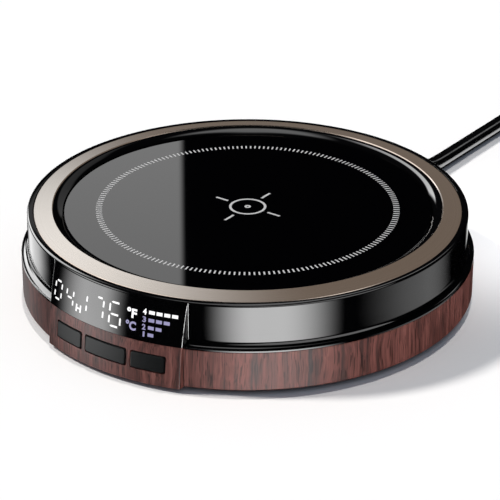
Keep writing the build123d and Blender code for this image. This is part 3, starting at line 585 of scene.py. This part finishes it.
def loopFabric():
    # woven nylon hook-and-loop strap: black, with rows of small loops
    finish, tree, place = newPatterned("loopFabric")
    loops = addNode(tree, "TexVoronoi", {"Scale": perMetre(loopSet["loop"])}, {"Vector": place})
    tone = addNode(tree, "ValToRGB", links={"Fac": loops.outputs["Distance"]}, stops=loopSet["tones"])
    strength, relief = loopSet["bump"]
    bump = addNode(
        tree,
        "Bump",
        {"Strength": strength, "Distance": relief * mm},
        {"Height": loops.outputs["Distance"]},
    )
    sheen, sheenRough = loopSet["sheen"]
    shader = addNode(
        tree,
        "BsdfPrincipled",
        {"Roughness": loopSet["rough"], "Sheen Weight": sheen, "Sheen Roughness": sheenRough},
        {"Base Color": tone.outputs[0], "Normal": bump.outputs[0]},
    )
    return closeFinish(finish, shader)


inkSet = {"grain": 0.3, "tones": {0.3: "#B9B9B9", 0.7: "#CDCDCD"}, "rough": 0.3}


def screenInk():
    # fired enamel ink, screen printed on the glass: pale grey, slightly grainy
    finish, tree, place = newPatterned("screenInk")
    scale = perMetre(inkSet["grain"])
    grain = addNode(tree, "TexNoise", {"Scale": scale, "Detail": 2.0}, {"Vector": place})
    tone = addNode(tree, "ValToRGB", links={"Fac": grain.outputs["Fac"]}, stops=inkSet["tones"])
    shader = addNode(
        tree, "BsdfPrincipled", {"Roughness": inkSet["rough"]}, {"Base Color": tone.outputs[0]}
    )
    return closeFinish(finish, shader)


glyphSet = {
    "base": "#101012",
    "rough": 0.3,
    "spread": 2.5,  # about the room between two diodes
    "dim": 0.88,  # share of its light that is left there
    # finish: tone and strength
    "litWhite": ("#FFFFFF", 1.15),
    "litLavender": ("#B7B3DE", 0.75),
}


def litGlyph(name):
    # light from a diode through the smoked window: even, with a little fall-off between diodes
    tone, strength = glyphSet[name]
    finish, tree, place = newPatterned(name)
    scale = perMetre(glyphSet["spread"])
    spread = addNode(tree, "TexNoise", {"Scale": scale, "Detail": 1.0}, {"Vector": place})
    dim = glyphSet["dim"] * strength
    glow = addNode(
        tree,
        "MapRange",
        {"From Min": noiseLow, "From Max": noiseHigh, "To Min": dim, "To Max": strength},
        {"Value": spread.outputs["Fac"]},
    )
    shader = addNode(
        tree,
        "BsdfPrincipled",
        {
            "Base Color": colour(glyphSet["base"]),
            "Roughness": glyphSet["rough"],
            "Emission Color": colour(tone),
        },
        {"Emission Strength": glow.outputs[0]},
    )
    return closeFinish(finish, shader)


finishes = {name: plainFinish(name) for name in plainFinishes}
finishes.update({name: panelFinish(name) for name in panelFinishes})
finishes.update({name: litGlyph(name) for name in ("litWhite", "litLavender")})
finishes["glossBlackAbs"] = glossBlackAbs()
finishes["champagneAluminium"] = champagneAluminium()
finishes["rosewoodFilm"] = rosewoodFilm()
finishes["solderMask"] = solderMask()
finishes["loopFabric"] = loopFabric()
finishes["screenInk"] = screenInk()

finishOfSlot = {
    "gloss_housing": "glossBlackAbs",
    "trim_metal": "champagneAluminium",
    "black_glass": "blackPlateGlass",
    "display_window": "smokedWindow",
    "wood_grain": "rosewoodFilm",
    "button_charcoal": "charcoalAbs",
    "cover_black": "texturedPolypropylene",
    "foot_rubber": "footRubber",
    "silicone": "siliconeBead",
    "spreader_aluminium": "rolledAluminium",
    "mica": "pressedMica",
    "ceramic_fibre": "ceramicFelt",
    "pressed_steel": "galvanisedSteel",
    "screw_steel": "zincPlate",
    "sensor_body": "dippedEpoxy",
    "fuse_body": "tinnedCan",
    "led_module": "whiteNylon",
    "circuit_board": "solderMask",
    "switch_black": "switchThermoplastic",
    "plunger_cream": "creamAcetal",
    "capacitor_red": "redCapacitor",
    "ferrite": "sinteredFerrite",
    "chip_black": "mouldedEpoxy",
    "terminal_green": "greenPolyamide",
    "connector_white": "whiteNylon",
    "wire_insulation": "wirePvc",
    "cord_black": "leadPvc",
    "tie_black": "loopFabric",
    "plug_black": "plugPvc",
    "blade_metal": "nickelPlate",
}


def setFinish(piece, name):
    piece.data.materials.clear()
    piece.data.materials.append(finishes[name])


for part in frame["record"]["subparts"]:
    setFinish(nodes[part["node"]], finishOfSlot[part["material_slot"]])
setFinish(mainsLead, "leadPvc")
print("finishes made:", len(finishes))


# Tools for the new pieces

def clearSelection():
    bpy.ops.object.select_all(action="DESELECT")


def selectOnly(piece):
    clearSelection()
    piece.select_set(True)
    bpy.context.view_layer.objects.active = piece


def newBlock(name, width, depth, height):
    # a block about the origin
    clearSelection()
    bpy.ops.mesh.primitive_cube_add(size=1.0, enter_editmode=True)
    bpy.ops.transform.resize(value=(width * mm, depth * mm, height * mm))
    bpy.ops.object.mode_set(mode="OBJECT")
    piece = bpy.context.object
    piece.name = name
    return piece


def newTurned(name, profile, sides):
    # a closed ring about Z through (radius, height) points in mm
    clearSelection()
    radius, height = profile[0]
    bpy.ops.mesh.primitive_circle_add(
        vertices=sides, radius=radius * mm, location=(0, 0, 0), enter_editmode=True
    )
    bpy.ops.transform.translate(value=(0, 0, height * mm))
    for nextRadius, nextHeight in profile[1:]:
        bpy.ops.mesh.extrude_edges_move()
        bpy.ops.transform.resize(value=(nextRadius / radius, nextRadius / radius, 1))
        bpy.ops.transform.translate(value=(0, 0, (nextHeight - height) * mm))
        radius, height = nextRadius, nextHeight
    bpy.ops.mesh.select_all(action="SELECT")
    bpy.ops.mesh.region_to_loop()
    bpy.ops.mesh.bridge_edge_loops()
    bpy.ops.mesh.select_all(action="SELECT")
    bpy.ops.mesh.normals_make_consistent(inside=False)
    bpy.ops.object.mode_set(mode="OBJECT")
    piece = bpy.context.object
    piece.name = name
    return piece


def newRing(name, inner, outer, thickness, sides):
    # a flat ring about the origin, from z = 0 up
    return newTurned(name, [(inner, 0), (outer, 0), (outer, thickness), (inner, thickness)], sides)


def copyOf(piece, name, move):
    twin = piece.copy()
    twin.data = piece.data.copy()
    twin.name = name
    twin.data.transform(move)
    scene.collection.objects.link(twin)
    return twin


def joinAll(name, pieces):
    selectOnly(pieces[0])
    for piece in pieces:
        piece.select_set(True)
    if len(pieces) > 1:
        bpy.ops.object.join()
    pieces[0].name = name
    return pieces[0]


def settle(piece, finish, body="housing"):
    piece.data.update()
    setFinish(piece, finish)
    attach(piece, body)


# Gloss shell: the rim's rounded edge, the band, and the hollow down to the ledge

shellSet = {
    "proud": 0.03,  # stands this far off the moulding below it
    "stripInner": 58.45,
    "rimTop": 24.4,
    "rimRound": 0.6,
    "bandRadius": 60.0,
    "hollow": 1.75,
    "ledgeTop": 12.6,
    "ledgeEdge": 61.99,
    "edgeRound": 0.15,
    "edgeEnd": 30.0,  # degrees at which that round stops, over the wood
    "depth": 0.6,  # how deep its hidden side lies
    "blockHalf": 21.6,  # the display's block takes this much of its front, to each side
    "sides": 256,
    "steps": {"rim": 8, "hollow": 12, "edge": 4},
    "smoothUnder": 30.0,  # degrees between two faces that are drawn as one round
}


def arcPoints(middle, radius, start, end, steps):
    points = []
    for i in range(steps + 1):
        angle = math.radians(start + (end - start) * i / steps)
        points.append((middle[0] + radius * math.cos(angle), middle[1] + radius * math.sin(angle)))
    return points


def smoothShell(piece):
    # a gloss moulding, shaded smooth across its small steps
    selectOnly(piece)
    bpy.ops.object.shade_smooth_by_angle(angle=math.radians(shellSet["smoothUnder"]))
    settle(piece, "glossBlackAbs")


def makeShell():
    proud, deep, band = shellSet["proud"], shellSet["depth"], shellSet["bandRadius"]
    top, bend, strip = shellSet["rimTop"], shellSet["rimRound"], shellSet["stripInner"]
    low, hollow = shellSet["ledgeTop"], shellSet["hollow"]
    edge, edgeBend, edgeEnd = shellSet["ledgeEdge"], shellSet["edgeRound"], shellSet["edgeEnd"]
    steps, sides = shellSet["steps"], shellSet["sides"]
    rim = [(strip, top + proud)]
    rim += arcPoints((band - bend, top - bend), bend + proud, 90, 0, steps["rim"])
    rim += [(band - bend, top - bend), (strip, top - bend)]
    smoothShell(newTurned("rimBead", rim, sides))
    wall = [(band + proud, top - bend), (band + proud, top / 2 + low / 2)]
    foot = (band + proud + hollow, low + proud + hollow)
    wall += arcPoints(foot, hollow, 180, 270, steps["hollow"])
    corner = (edge - edgeBend, low + proud - edgeBend)
    wall += arcPoints(corner, edgeBend, 90, edgeEnd, steps["edge"])
    wall += [(edge - deep, low - deep / 2), (band - deep, low + hollow)]
    wall.append((band - deep, top - bend))
    sleeve = newTurned("bandSleeve", wall, sides)
    cutter = newBlock("blockRoom", 2 * shellSet["blockHalf"], band, 2 * top)
    cutter.data.transform(Matrix.Translation((0, -band * mm, 0)))
    cut = sleeve.modifiers.new("blockRoom", "BOOLEAN")
    cut.object, cut.operation, cut.solver = cutter, "DIFFERENCE", "MANIFOLD"
    selectOnly(sleeve)
    bpy.ops.object.modifier_apply(modifier=cut.name)
    bpy.data.objects.remove(cutter)
    smoothShell(sleeve)


makeShell()
print("shell made")


# Bezel between the metal ring and the glass

bezelSet = {
    "outer": (52.9, 24.94),
    "inner": (50.4, 23.69),
    "bulge": 0.2,  # how far its face swells above a straight slope
    "steps": 10,
    "seat": 22.6,
    "sides": 256,
}


def makeBezel():
    (outerR, outerZ), (innerR, innerZ) = bezelSet["outer"], bezelSet["inner"]
    slope = math.atan2(outerZ - innerZ, outerR - innerR)
    face = []
    for i in range(bezelSet["steps"] + 1):
        share = i / bezelSet["steps"]
        swell = 4 * bezelSet["bulge"] * share * (1 - share)
        radius = outerR + (innerR - outerR) * share - swell * math.sin(slope)
        height = outerZ + (innerZ - outerZ) * share + swell * math.cos(slope)
        face.append((radius, height))
    foot = [(innerR, bezelSet["seat"]), (outerR, bezelSet["seat"])]
    ring = newTurned("bezelRing", face + foot, bezelSet["sides"])
    smoothShell(ring)
    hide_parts("panel_bezel")


makeBezel()
print("bezel made")


# Print on the glass

printSet = {
    "ink": 0.03,
    "sunk": 0.01,  # how much of the ink's thickness the glass's own skin takes up
    "tickCount": 200,
    # bars of ink: inner and outer radius, and width
    "tick": (39.7, 41.4, 0.42),
    "arm": (6.6, 10.6, 0.7),
    # rounds of ink: inner and outer radius, and number of sides
    "rounds": {"centreRing": (4.4, 5.1, 96), "centreDot": (0.3, 0.9, 32)},
}
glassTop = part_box("glass_panel")[1].z


def inkBars(name, count):
    # bars of ink that point at the middle of the glass, evenly round it
    inner, outer, width = printSet[name]
    bars = [newBlock(name, outer - inner, width, printSet["ink"])]
    height = glassTop + (printSet["ink"] / 2 - printSet["sunk"]) * mm
    bars[0].data.transform(Matrix.Translation(((inner + outer) / 2 * mm, 0, height)))
    for i in range(1, count):
        bars.append(copyOf(bars[0], name + str(i), Matrix.Rotation(2 * math.pi * i / count, 4, "Z")))
    return bars


def makeTicks():
    ticks = inkBars("tick", printSet["tickCount"])
    settle(joinAll("heatZoneTicks", ticks), "screenInk")


def makeCentreMark():
    # a plain centring mark for the mug: ring, dot and four arms
    marks = []
    for name, (inner, outer, sides) in printSet["rounds"].items():
        mark = newRing(name, inner, outer, printSet["ink"], sides)
        mark.data.transform(Matrix.Translation((0, 0, glassTop - printSet["sunk"] * mm)))
        marks.append(mark)
    settle(joinAll("centreMark", marks + inkBars("arm", 4)), "screenInk")


makeTicks()
makeCentreMark()
print("glass print made")


# Display: lit digits, units and a level gauge on the window's flared face

faceSet = {
    "profile": ((60.0, 23.5), (62.35, 12.5), (63.5, 1.2)),  # radius and height, top to foot
    "rimTop": 24.4,
    "arcRadius": 61.5,  # where lengths along the face are measured
    "proud": 0.02,  # what a lit sign shows of its thickness
    "thickness": 0.06,
}
digitSet = {
    "stroke": 0.5,  # width of a stroke, in mm as all sizes here
    "gap": 0.42,  # how far it stops short of its corner
    "tip": 0.1,  # share of a stroke's length that each tapered end takes
    "taper": 0.5,  # what is left of its width there
    # digit: left, right, top, bottom, as arc length from the middle and drop from the rim's top
    "places": {
        "0": (-20.2, -16.9, 4.5, 9.8),
        "4": (-15.1, -11.9, 4.7, 9.9),
        "1": (-7.45, -6.8, 4.15, 9.6),
        "7": (-4.1, -1.1, 3.7, 9.7),
        "6": (0.5, 4.4, 3.6, 10.3),
    },
    "strokes": {
        "0": "abcdef",
        "4": "fgbc",
        "1": "bc",
        "7": "abc",
        "6": "afgecd",
    },
}
signSet = {
    # sign: text, left, right, top, bottom, finish, extra weight
    "hourSign": ("H", -10.8, -8.8, 8.0, 10.0, "litWhite", 0.03),
    "fahrenheitSign": ("°F", 6.0, 8.9, 3.9, 6.5, "litWhite", 0.04),
    "celsiusSign": ("°C", 5.9, 8.9, 7.2, 9.7, "litLavender", 0.04),
    "level4": ("4", 10.6, 11.6, 3.3, 4.9, "litWhite", 0.05),
    "level3": ("3", 10.6, 11.6, 5.35, 6.85, "litLavender", 0.03),
    "level2": ("2", 10.6, 11.6, 7.3, 8.8, "litLavender", 0.03),
    "level1": ("1", 10.95, 11.45, 9.2, 10.6, "litLavender", 0.02),
}
gaugeSet = {
    "start": 12.3,  # left end of each row, as arc length from the middle
    "barWidth": 1.6,
    "barPitch": 2.1,
    "barHeight": 0.9,
    # level: drop of the row from the rim's top, number of bars, finish
    "rows": {
        4: (4.1, 4, "litWhite"),
        3: (6.1, 3, "litLavender"),
        2: (8.05, 2, "litLavender"),
        1: (9.9, 1, "litLavender"),
    },
}


def faceCircle():
    # centre and radius of the arc through the profile's three points
    (ax, ay), (bx, by), (cx, cy) = faceSet["profile"]
    twice = 2 * (ax * (by - cy) + bx * (cy - ay) + cx * (ay - by))
    a2, b2, c2 = ax * ax + ay * ay, bx * bx + by * by, cx * cx + cy * cy
    middleR = (a2 * (by - cy) + b2 * (cy - ay) + c2 * (ay - by)) / twice
    middleZ = (a2 * (cx - bx) + b2 * (ax - cx) + c2 * (bx - ax)) / twice
    return middleR, middleZ, math.hypot(ax - middleR, ay - middleZ)


def faceAt(height):
    # how far the flared face leans back at a height, and how far out it stands
    middleR, middleZ, arc = faceCircle()
    lean = math.asin((height - middleZ) / arc)
    return lean, middleR + arc * math.cos(lean)


def onFace(along, drop):
    # matrix that sets a flat thing, drawn in x and z and facing -y, on the flared face
    height = faceSet["rimTop"] - drop
    lean, reach = faceAt(height)
    turn = along / faceSet["arcRadius"]
    outward = Vector(
        (math.cos(lean) * math.sin(turn), -math.cos(lean) * math.cos(turn), math.sin(lean))
    )
    right = Vector((math.cos(turn), math.sin(turn), 0))
    inward = -outward
    up = right.cross(inward)
    spot = Vector((reach * math.sin(turn), -reach * math.cos(turn), height))
    spot += outward * (faceSet["proud"] - faceSet["thickness"] / 2)
    turned = Matrix((right, inward, up)).transposed().to_4x4()
    return Matrix.Translation(spot * mm) @ turned


def newStroke(name):
    # one stroke of a digit, 1 long and lying along x, tapered at both ends
    clearSelection()
    bpy.ops.mesh.primitive_cube_add(size=1.0, enter_editmode=True)
    tip, taper = digitSet["tip"], digitSet["taper"]
    bpy.ops.transform.resize(value=(1 - 2 * tip, 1, 1))
    bpy.ops.object.mode_set(mode="OBJECT")
    piece = bpy.context.object
    for side in (-1, 1):
        for face in piece.data.polygons:
            face.select = face.normal.x * side > 0.9  # the end face on this side
        bpy.ops.object.mode_set(mode="EDIT")
        bpy.ops.mesh.select_mode(type="FACE")
        bpy.ops.mesh.extrude_region_move(TRANSFORM_OT_translate={"value": (side * tip, 0, 0)})
        bpy.ops.transform.resize(value=(1, 1, taper))
        bpy.ops.object.mode_set(mode="OBJECT")
    piece.name = name
    return piece


def strokeLine(letter, left, right, top, bottom):
    # the two ends of a stroke, as (along, drop)
    half = digitSet["stroke"] / 2
    gap = digitSet["gap"]
    low, high = left + half, right - half
    upper, lower = top + half, bottom - half
    middle = (top + bottom) / 2
    return {
        "a": ((low + gap, upper), (high - gap, upper)),
        "g": ((low + gap, middle), (high - gap, middle)),
        "d": ((low + gap, lower), (high - gap, lower)),
        "f": ((low, upper + gap), (low, middle - gap)),
        "e": ((low, middle + gap), (low, lower - gap)),
        "b": ((high, upper + gap), (high, middle - gap)),
        "c": ((high, middle + gap), (high, lower - gap)),
    }[letter]


def makeDigits():
    model = newStroke("strokeModel")
    for digit, place in digitSet["places"].items():
        made = []
        for letter in digitSet["strokes"][digit]:
            (x1, z1), (x2, z2) = strokeLine(letter, *place)
            length = math.hypot(x2 - x1, z2 - z1)
            size = Matrix.Diagonal(
                (length * mm, faceSet["thickness"] * mm, digitSet["stroke"] * mm, 1)
            )
            turn = Matrix.Rotation(math.atan2(z2 - z1, x2 - x1), 4, "Y")
            spot = onFace((x1 + x2) / 2, (z1 + z2) / 2)
            made.append(copyOf(model, "digit" + digit + letter, spot @ turn @ size))
        settle(joinAll("digit" + digit, made), "litWhite")
    bpy.data.objects.remove(model)


def makeSign(name, words, left, right, top, bottom, finish, weight):
    clearSelection()
    bpy.ops.object.text_add()
    sign = bpy.context.object
    sign.data.body = words
    sign.data.size = 1.0
    sign.data.offset = weight
    sign.data.extrude = 0.5  # to each side, so it is 1 thick
    bpy.ops.object.convert(target="MESH")
    sign.name = name
    low = Vector(map(min, zip(*[v.co for v in sign.data.vertices])))
    high = Vector(map(max, zip(*[v.co for v in sign.data.vertices])))
    middle = (low + high) / 2
    width, height = (right - left) * mm, (bottom - top) * mm
    size = Matrix.Diagonal(
        (width / (high.x - low.x), height / (high.y - low.y), faceSet["thickness"] * mm, 1)
    )
    upright = Matrix.Rotation(math.pi / 2, 4, "X")
    spot = onFace((left + right) / 2, (top + bottom) / 2)
    sign.data.transform(spot @ upright @ size @ Matrix.Translation(-middle))
    settle(sign, finish)


def makeGauge():
    bar = newBlock("gaugeBar", gaugeSet["barWidth"], faceSet["thickness"], gaugeSet["barHeight"])
    for level, (drop, count, finish) in gaugeSet["rows"].items():
        bars = []
        for i in range(count):
            along = gaugeSet["start"] + gaugeSet["barWidth"] / 2 + i * gaugeSet["barPitch"]
            bars.append(copyOf(bar, "gauge" + str(level) + str(i), onFace(along, drop)))
        settle(joinAll("gaugeRow" + str(level), bars), finish)
    bpy.data.objects.remove(bar)


edgeSet = {
    "steps": 12,
    "blockHalf": 21.4,  # half the block's width
    # bead: height of its top and foot, thickness, and how deep its middle lies in the block
    "lensEdge": (23.4, 12.62, 0.26, 0.14),
    "blockSeam": (24.2, 14.0, 0.2, -0.16),
}


def makeEdge(name, reachAt):
    # the rounded corners of a moulding, as two thin beads
    (top, foot, thick, sunk), steps = edgeSet[name], edgeSet["steps"]
    across = edgeSet["blockHalf"] - sunk
    curve = bpy.data.curves.new(name, "CURVE")
    curve.dimensions = "3D"
    curve.bevel_depth = thick / 2 * mm
    curve.use_fill_caps = True
    for side in (-1, 1):
        spline = curve.splines.new("POLY")
        spline.points.add(steps)
        for i, point in enumerate(spline.points):
            height = top + (foot - top) * i / steps
            away = -math.sqrt(reachAt(height, sunk) ** 2 - across**2)
            point.co = (side * across * mm, away * mm, height * mm, 1.0)
    selectOnly(addObject(name, curve))
    bpy.ops.object.convert(target="MESH")
    smoothShell(bpy.context.object)


makeEdge("lensEdge", lambda height, sunk: faceAt(height)[1] - sunk)
makeEdge("blockSeam", lambda height, sunk: shellSet["bandRadius"] + shellSet["proud"])
makeDigits()
for signName, sign in signSet.items():
    makeSign(signName, *sign)
makeGauge()
print("display made")


# Floor, lights and reflection cards

stageSet = {
    "floorSize": 10.0,
    "floorTone": "#FAFAFA",
    "worldTone": "#D6E3F6",
    "worldDiffuse": 0.29,
    "worldGloss": 0.004,
    "lampTone": "#FFFBF6",
    # lamps: compass angle that each comes from (from +X towards +Y), height, strength, spread
    "keyLight": (206.0, 48.0, 2.34, 8.0),
    "backLight": (118.0, 81.0, 1.0, 1.5),
    "woodLight": (-14.0, 28.0, 1.35, 50.0),  # lights the wood alone, which the others leave out
    "cardDistance": 12.0,
    "cardStep": 0.04,  # each card is further off by this, so that no two lie in one plane
}
shellPieces = ("upper_housing", "rimBead", "bandSleeve")
woodNodes = ("base_shell", "control_fascia")
# Soft panels that only gloss sees. In degrees as seen from the object: compass from and to,
# height from and to; then the brightness, how soft the left, right, lower and upper edges are,
# and the pieces that it lights. One that names none lights them all.
cardSet = {
    "bandStreak": (-76, -5, -46, -8, 10.5, (26, 34, 6, 4), shellPieces),
    "woodStreak": (-76, -5, -46, -8, 5.5, (26, 34, 6, 4), woodNodes),
    "woodVeil": (138, 182, -46, 0, 0.7, (14, 18, 6, 6), woodNodes),
    "bandRight": (4, 75, -36, -10, 1.02, (35, 28, 4, 4), shellPieces + ("display_lens",)),
    "ledgeRight": (-76, 40, 4, 46, 2.4, (10, 20, 8, 8), shellPieces),
    "ledgeTop": (96, 130, 31, 58, 2, (6, 4, 4, 8), shellPieces),
    "blockSide": (43, 67, -38, -12, 7, (6, 6, 6, 6), ("display_lens",)),
    "edgeLine": (-85, 52, -46, 12, 30, (4, 4, 4, 4), ("lensEdge", "blockSeam")),
    "rimGlow": (124, 140, 23.4, 26.8, 0.3, (4, 4, 1.4, 1), ("rimBead",)),
    "bandEdge": (103, 134, -36, -10, 1, (10, 6, 4, 4), shellPieces),
    "bandLeft": (138, 182, -46, 0, 1.9, (14, 18, 6, 6), shellPieces + ("display_lens",)),
    "windowGlow": (-159, -113, -24, 18, 5.6, (22, 16, 4, 20), ()),
    "glassPanel": (127.32, 140, 10, 40, 1.28, (0.25, 1, 1, 1), ("glass_panel", "heatZoneTicks")),
    "ringBright": (124, 172, -6, 62, 1.17, (16, 8, 40, 30), ("trim_ring",)),
    "ringEdgeInner": (148, 215, 0, 66, 1.1, (6, 10, 8, 8), ("trim_ring",)),
    "ringEdgeLeft": (-148, -48, 26, 60, 1.1, (10, 3, 6, 6), ("trim_ring",)),
    "ringEdgeRight": (-48, 34, 26, 60, 1, (3, 30, 6, 6), ("trim_ring",)),
    "bezelStrip": (142, 160, 15, 60, 5.2, (3, 4, 8, 16), ("bezelRing",)),
    "bezelDim": (84, 113, 0, 50, 0.26, (8, 4, 6, 6), ("bezelRing",)),
    "leftBox": (142, 204, 6, 54, 7, (8, 20, 8, 14), shellPieces + ("display_lens",)),
    "leadLow": (38, 76, -54, -10, 3.4, (6, 6, 8, 4), ("mainsLead", "strain_relief")),
    "leadHigh": (64, 82, 28, 38, 1.9, (4, 4, 3, 3), ("mainsLead", "strain_relief")),
}
cardLean = {"glassPanel": 3.1}  # degrees that it is turned in its own plane
cardTint = {"ringBright": "#E8F5FF"}
# a soft spot on the paper behind the right side: where from, where to, strength and width
fillSet = {
    "place": (0.17, 0.16, 0.35),
    "aim": (0.055, 0.068, 0.0),
    "power": 3.6,
    "degrees": 15.0,
    "lampRadius": 0.02,
}
overheadSet = {"size": 9.0, "place": (-1.5, 1.0, 12.0), "brightness": 2.2, "soft": 0.3}
# a dim wall all round that only bare metal sees
wallSet = {"radius": 14.0, "height": 44.0, "sides": 64, "brightness": 0.2, "tint": "#FFF0E3"}
metalNodes = ("trim_ring", "plug_blades")


def makeFloor():
    clearSelection()
    bpy.ops.mesh.primitive_plane_add(size=stageSet["floorSize"])
    floor = bpy.context.object
    floor.name = "floor"
    finish, tree = newFinish("floorPaper")
    paper = {"Base Color": colour(stageSet["floorTone"]), "Roughness": 0.9, "Specular IOR Level": 0.0}
    floor.data.materials.append(closeFinish(finish, addNode(tree, "BsdfPrincipled", paper)))
    floor.visible_glossy = False


def makeWorld():
    # white behind the object, soft light on what is matt, and dark for what is glossy
    world = bpy.data.worlds.new("studioWorld")
    world.use_nodes = True
    tree = world.node_tree
    tree.nodes.clear()
    tone, white = colour(stageSet["worldTone"]), colour("#FFFFFF")
    path = addNode(tree, "LightPath")
    behind = addNode(tree, "Background", {"Color": white, "Strength": 1.0})
    soft = addNode(tree, "Background", {"Color": tone, "Strength": stageSet["worldDiffuse"]})
    dark = addNode(tree, "Background", {"Color": white, "Strength": stageSet["worldGloss"]})
    gloss = addNode(
        tree,
        "MixShader",
        links={0: path.outputs["Is Glossy Ray"], 1: soft.outputs[0], 2: dark.outputs[0]},
    )
    seen = addNode(
        tree,
        "MixShader",
        links={0: path.outputs["Is Camera Ray"], 1: gloss.outputs[0], 2: behind.outputs[0]},
    )
    addNode(tree, "OutputWorld", links={"Surface": seen.outputs[0]})
    scene.world = world


def makeLamp(name):
    compass, height, strength, spread = stageSet[name]
    light = bpy.data.lights.new(name, "SUN")
    light.energy = strength
    light.angle = math.radians(spread)
    light.color = colour(stageSet["lampTone"])[:3]
    lamp = addObject(name, light)
    toLight = towards(math.radians(compass), math.radians(height))
    lamp.rotation_euler = (-toLight).to_track_quat("-Z", "Y").to_euler()
    lamp.visible_glossy = False
    lit = bpy.data.collections.new(name + "Lit")
    for wood in woodNodes:
        lit.objects.link(nodes[wood])
    if name != "woodLight":
        for member in lit.collection_objects:
            member.light_linking.link_state = "EXCLUDE"
    lamp.light_linking.receiver_collection = lit


def cardFinish(name, brightness, soft, tint):
    # emission that fades out at the four edges; soft holds each edge's share of the card
    finish, tree = newFinish(name)
    spot = addNode(tree, "TexCoord").outputs["UV"]
    split = addNode(tree, "SeparateXYZ", links={"Vector": spot})
    left, right, lower, upper = soft
    fades = []
    for axis, start, end in (
        ("X", 0.0, left),
        ("X", 1.0, 1 - right),
        ("Y", 0.0, lower),
        ("Y", 1.0, 1 - upper),
    ):
        fades.append(
            addNode(
                tree,
                "MapRange",
                {"From Min": start, "From Max": end},
                {"Value": split.outputs[axis]},
                interpolation_type="SMOOTHSTEP",
            ).outputs[0]
        )
    total = addNode(tree, "Math", {1: brightness}, {0: fades[0]}, operation="MULTIPLY")
    for fade in fades[1:]:
        total = addNode(tree, "Math", links={0: total.outputs[0], 1: fade}, operation="MULTIPLY")
    glow = addNode(tree, "Emission", {"Color": colour(tint)}, {"Strength": total.outputs[0]})
    clear = addNode(tree, "BsdfTransparent")  # so that one panel doesn't hide another
    shader = addNode(tree, "AddShader", links={0: glow.outputs[0], 1: clear.outputs[0]})
    return closeFinish(finish, shader)


def hideCard(card, onto):
    # a card that gloss alone sees, and only the gloss of the pieces that it is meant for
    card.visible_camera = False
    card.visible_diffuse = False
    card.visible_transmission = False
    card.visible_shadow = False
    if onto:
        lit = bpy.data.collections.new(card.name + "Lit")
        for name in onto:
            lit.objects.link(nodes[name] if name in nodes else bpy.data.objects[name])
        card.light_linking.receiver_collection = lit


def makeCard(name, distance):
    fromAz, toAz, fromEl, toEl, brightness, (left, right, lower, upper), onto = cardSet[name]
    azimuth = math.radians((fromAz + toAz) / 2)
    elevation = math.radians((fromEl + toEl) / 2)
    width = 2 * distance * math.cos(elevation) * math.tan(math.radians(toAz - fromAz) / 2)
    height = 2 * distance * math.tan(math.radians(toEl - fromEl) / 2)
    clearSelection()
    bpy.ops.mesh.primitive_plane_add(size=1.0)
    panel = bpy.context.object
    panel.name = name
    away = towards(azimuth, elevation)
    along = Vector((-math.sin(azimuth), math.cos(azimuth), 0))
    up = away.cross(along)
    turned = Matrix((along, up, away)).transposed().to_4x4()
    lean = Matrix.Rotation(-math.radians(cardLean.get(name, 0.0)), 4, "Z")
    size = Matrix.Diagonal((width, height, 1, 1))
    panel.data.transform(Matrix.Translation(away * distance) @ turned @ lean @ size)
    wide, tall = toAz - fromAz, toEl - fromEl
    soft = (left / wide, right / wide, lower / tall, upper / tall)
    tint = cardTint.get(name, "#FFFFFF")
    panel.data.materials.append(cardFinish(name, brightness, soft, tint))
    hideCard(panel, onto)


def makeOverhead():
    clearSelection()
    bpy.ops.mesh.primitive_plane_add(size=overheadSet["size"])
    card = bpy.context.object
    card.name = "overheadCard"
    card.data.transform(Matrix.Translation(overheadSet["place"]))
    soft = (overheadSet["soft"],) * 4
    card.data.materials.append(cardFinish(card.name, overheadSet["brightness"], soft, "#FFFFFF"))
    hideCard(card, ())


def makeWall():
    clearSelection()
    bpy.ops.mesh.primitive_cylinder_add(
        radius=wallSet["radius"],
        depth=wallSet["height"],
        vertices=wallSet["sides"],
        end_fill_type="NOTHING",
    )
    wall = bpy.context.object
    wall.name = "metalWall"
    finish, tree = newFinish("metalWall")
    light = {"Color": colour(wallSet["tint"]), "Strength": wallSet["brightness"]}
    wall.data.materials.append(closeFinish(finish, addNode(tree, "Emission", light)))
    hideCard(wall, metalNodes)


def makeFillSpot():
    lamp = bpy.data.lights.new("fillSpot", "SPOT")
    lamp.energy = fillSet["power"]
    lamp.spot_size = math.radians(fillSet["degrees"])
    lamp.spot_blend = 1.0  # soft all the way in
    lamp.shadow_soft_size = fillSet["lampRadius"]
    spot = addObject("fillSpot", lamp)
    spot.visible_glossy = False
    away = Vector(fillSet["place"]) - Vector(fillSet["aim"])
    spot.location = fillSet["place"]
    spot.rotation_euler = away.to_track_quat("Z", "Y").to_euler()


makeFloor()
makeWorld()
makeFillSpot()
makeLamp("keyLight")
makeLamp("backLight")
makeLamp("woodLight")
for order, cardName in enumerate(cardSet):
    makeCard(cardName, stageSet["cardDistance"] + order * stageSet["cardStep"])
makeOverhead()
makeWall()
scene.view_settings.view_transform = "Standard"
print("stage made")

bpy.context.view_layer.update()
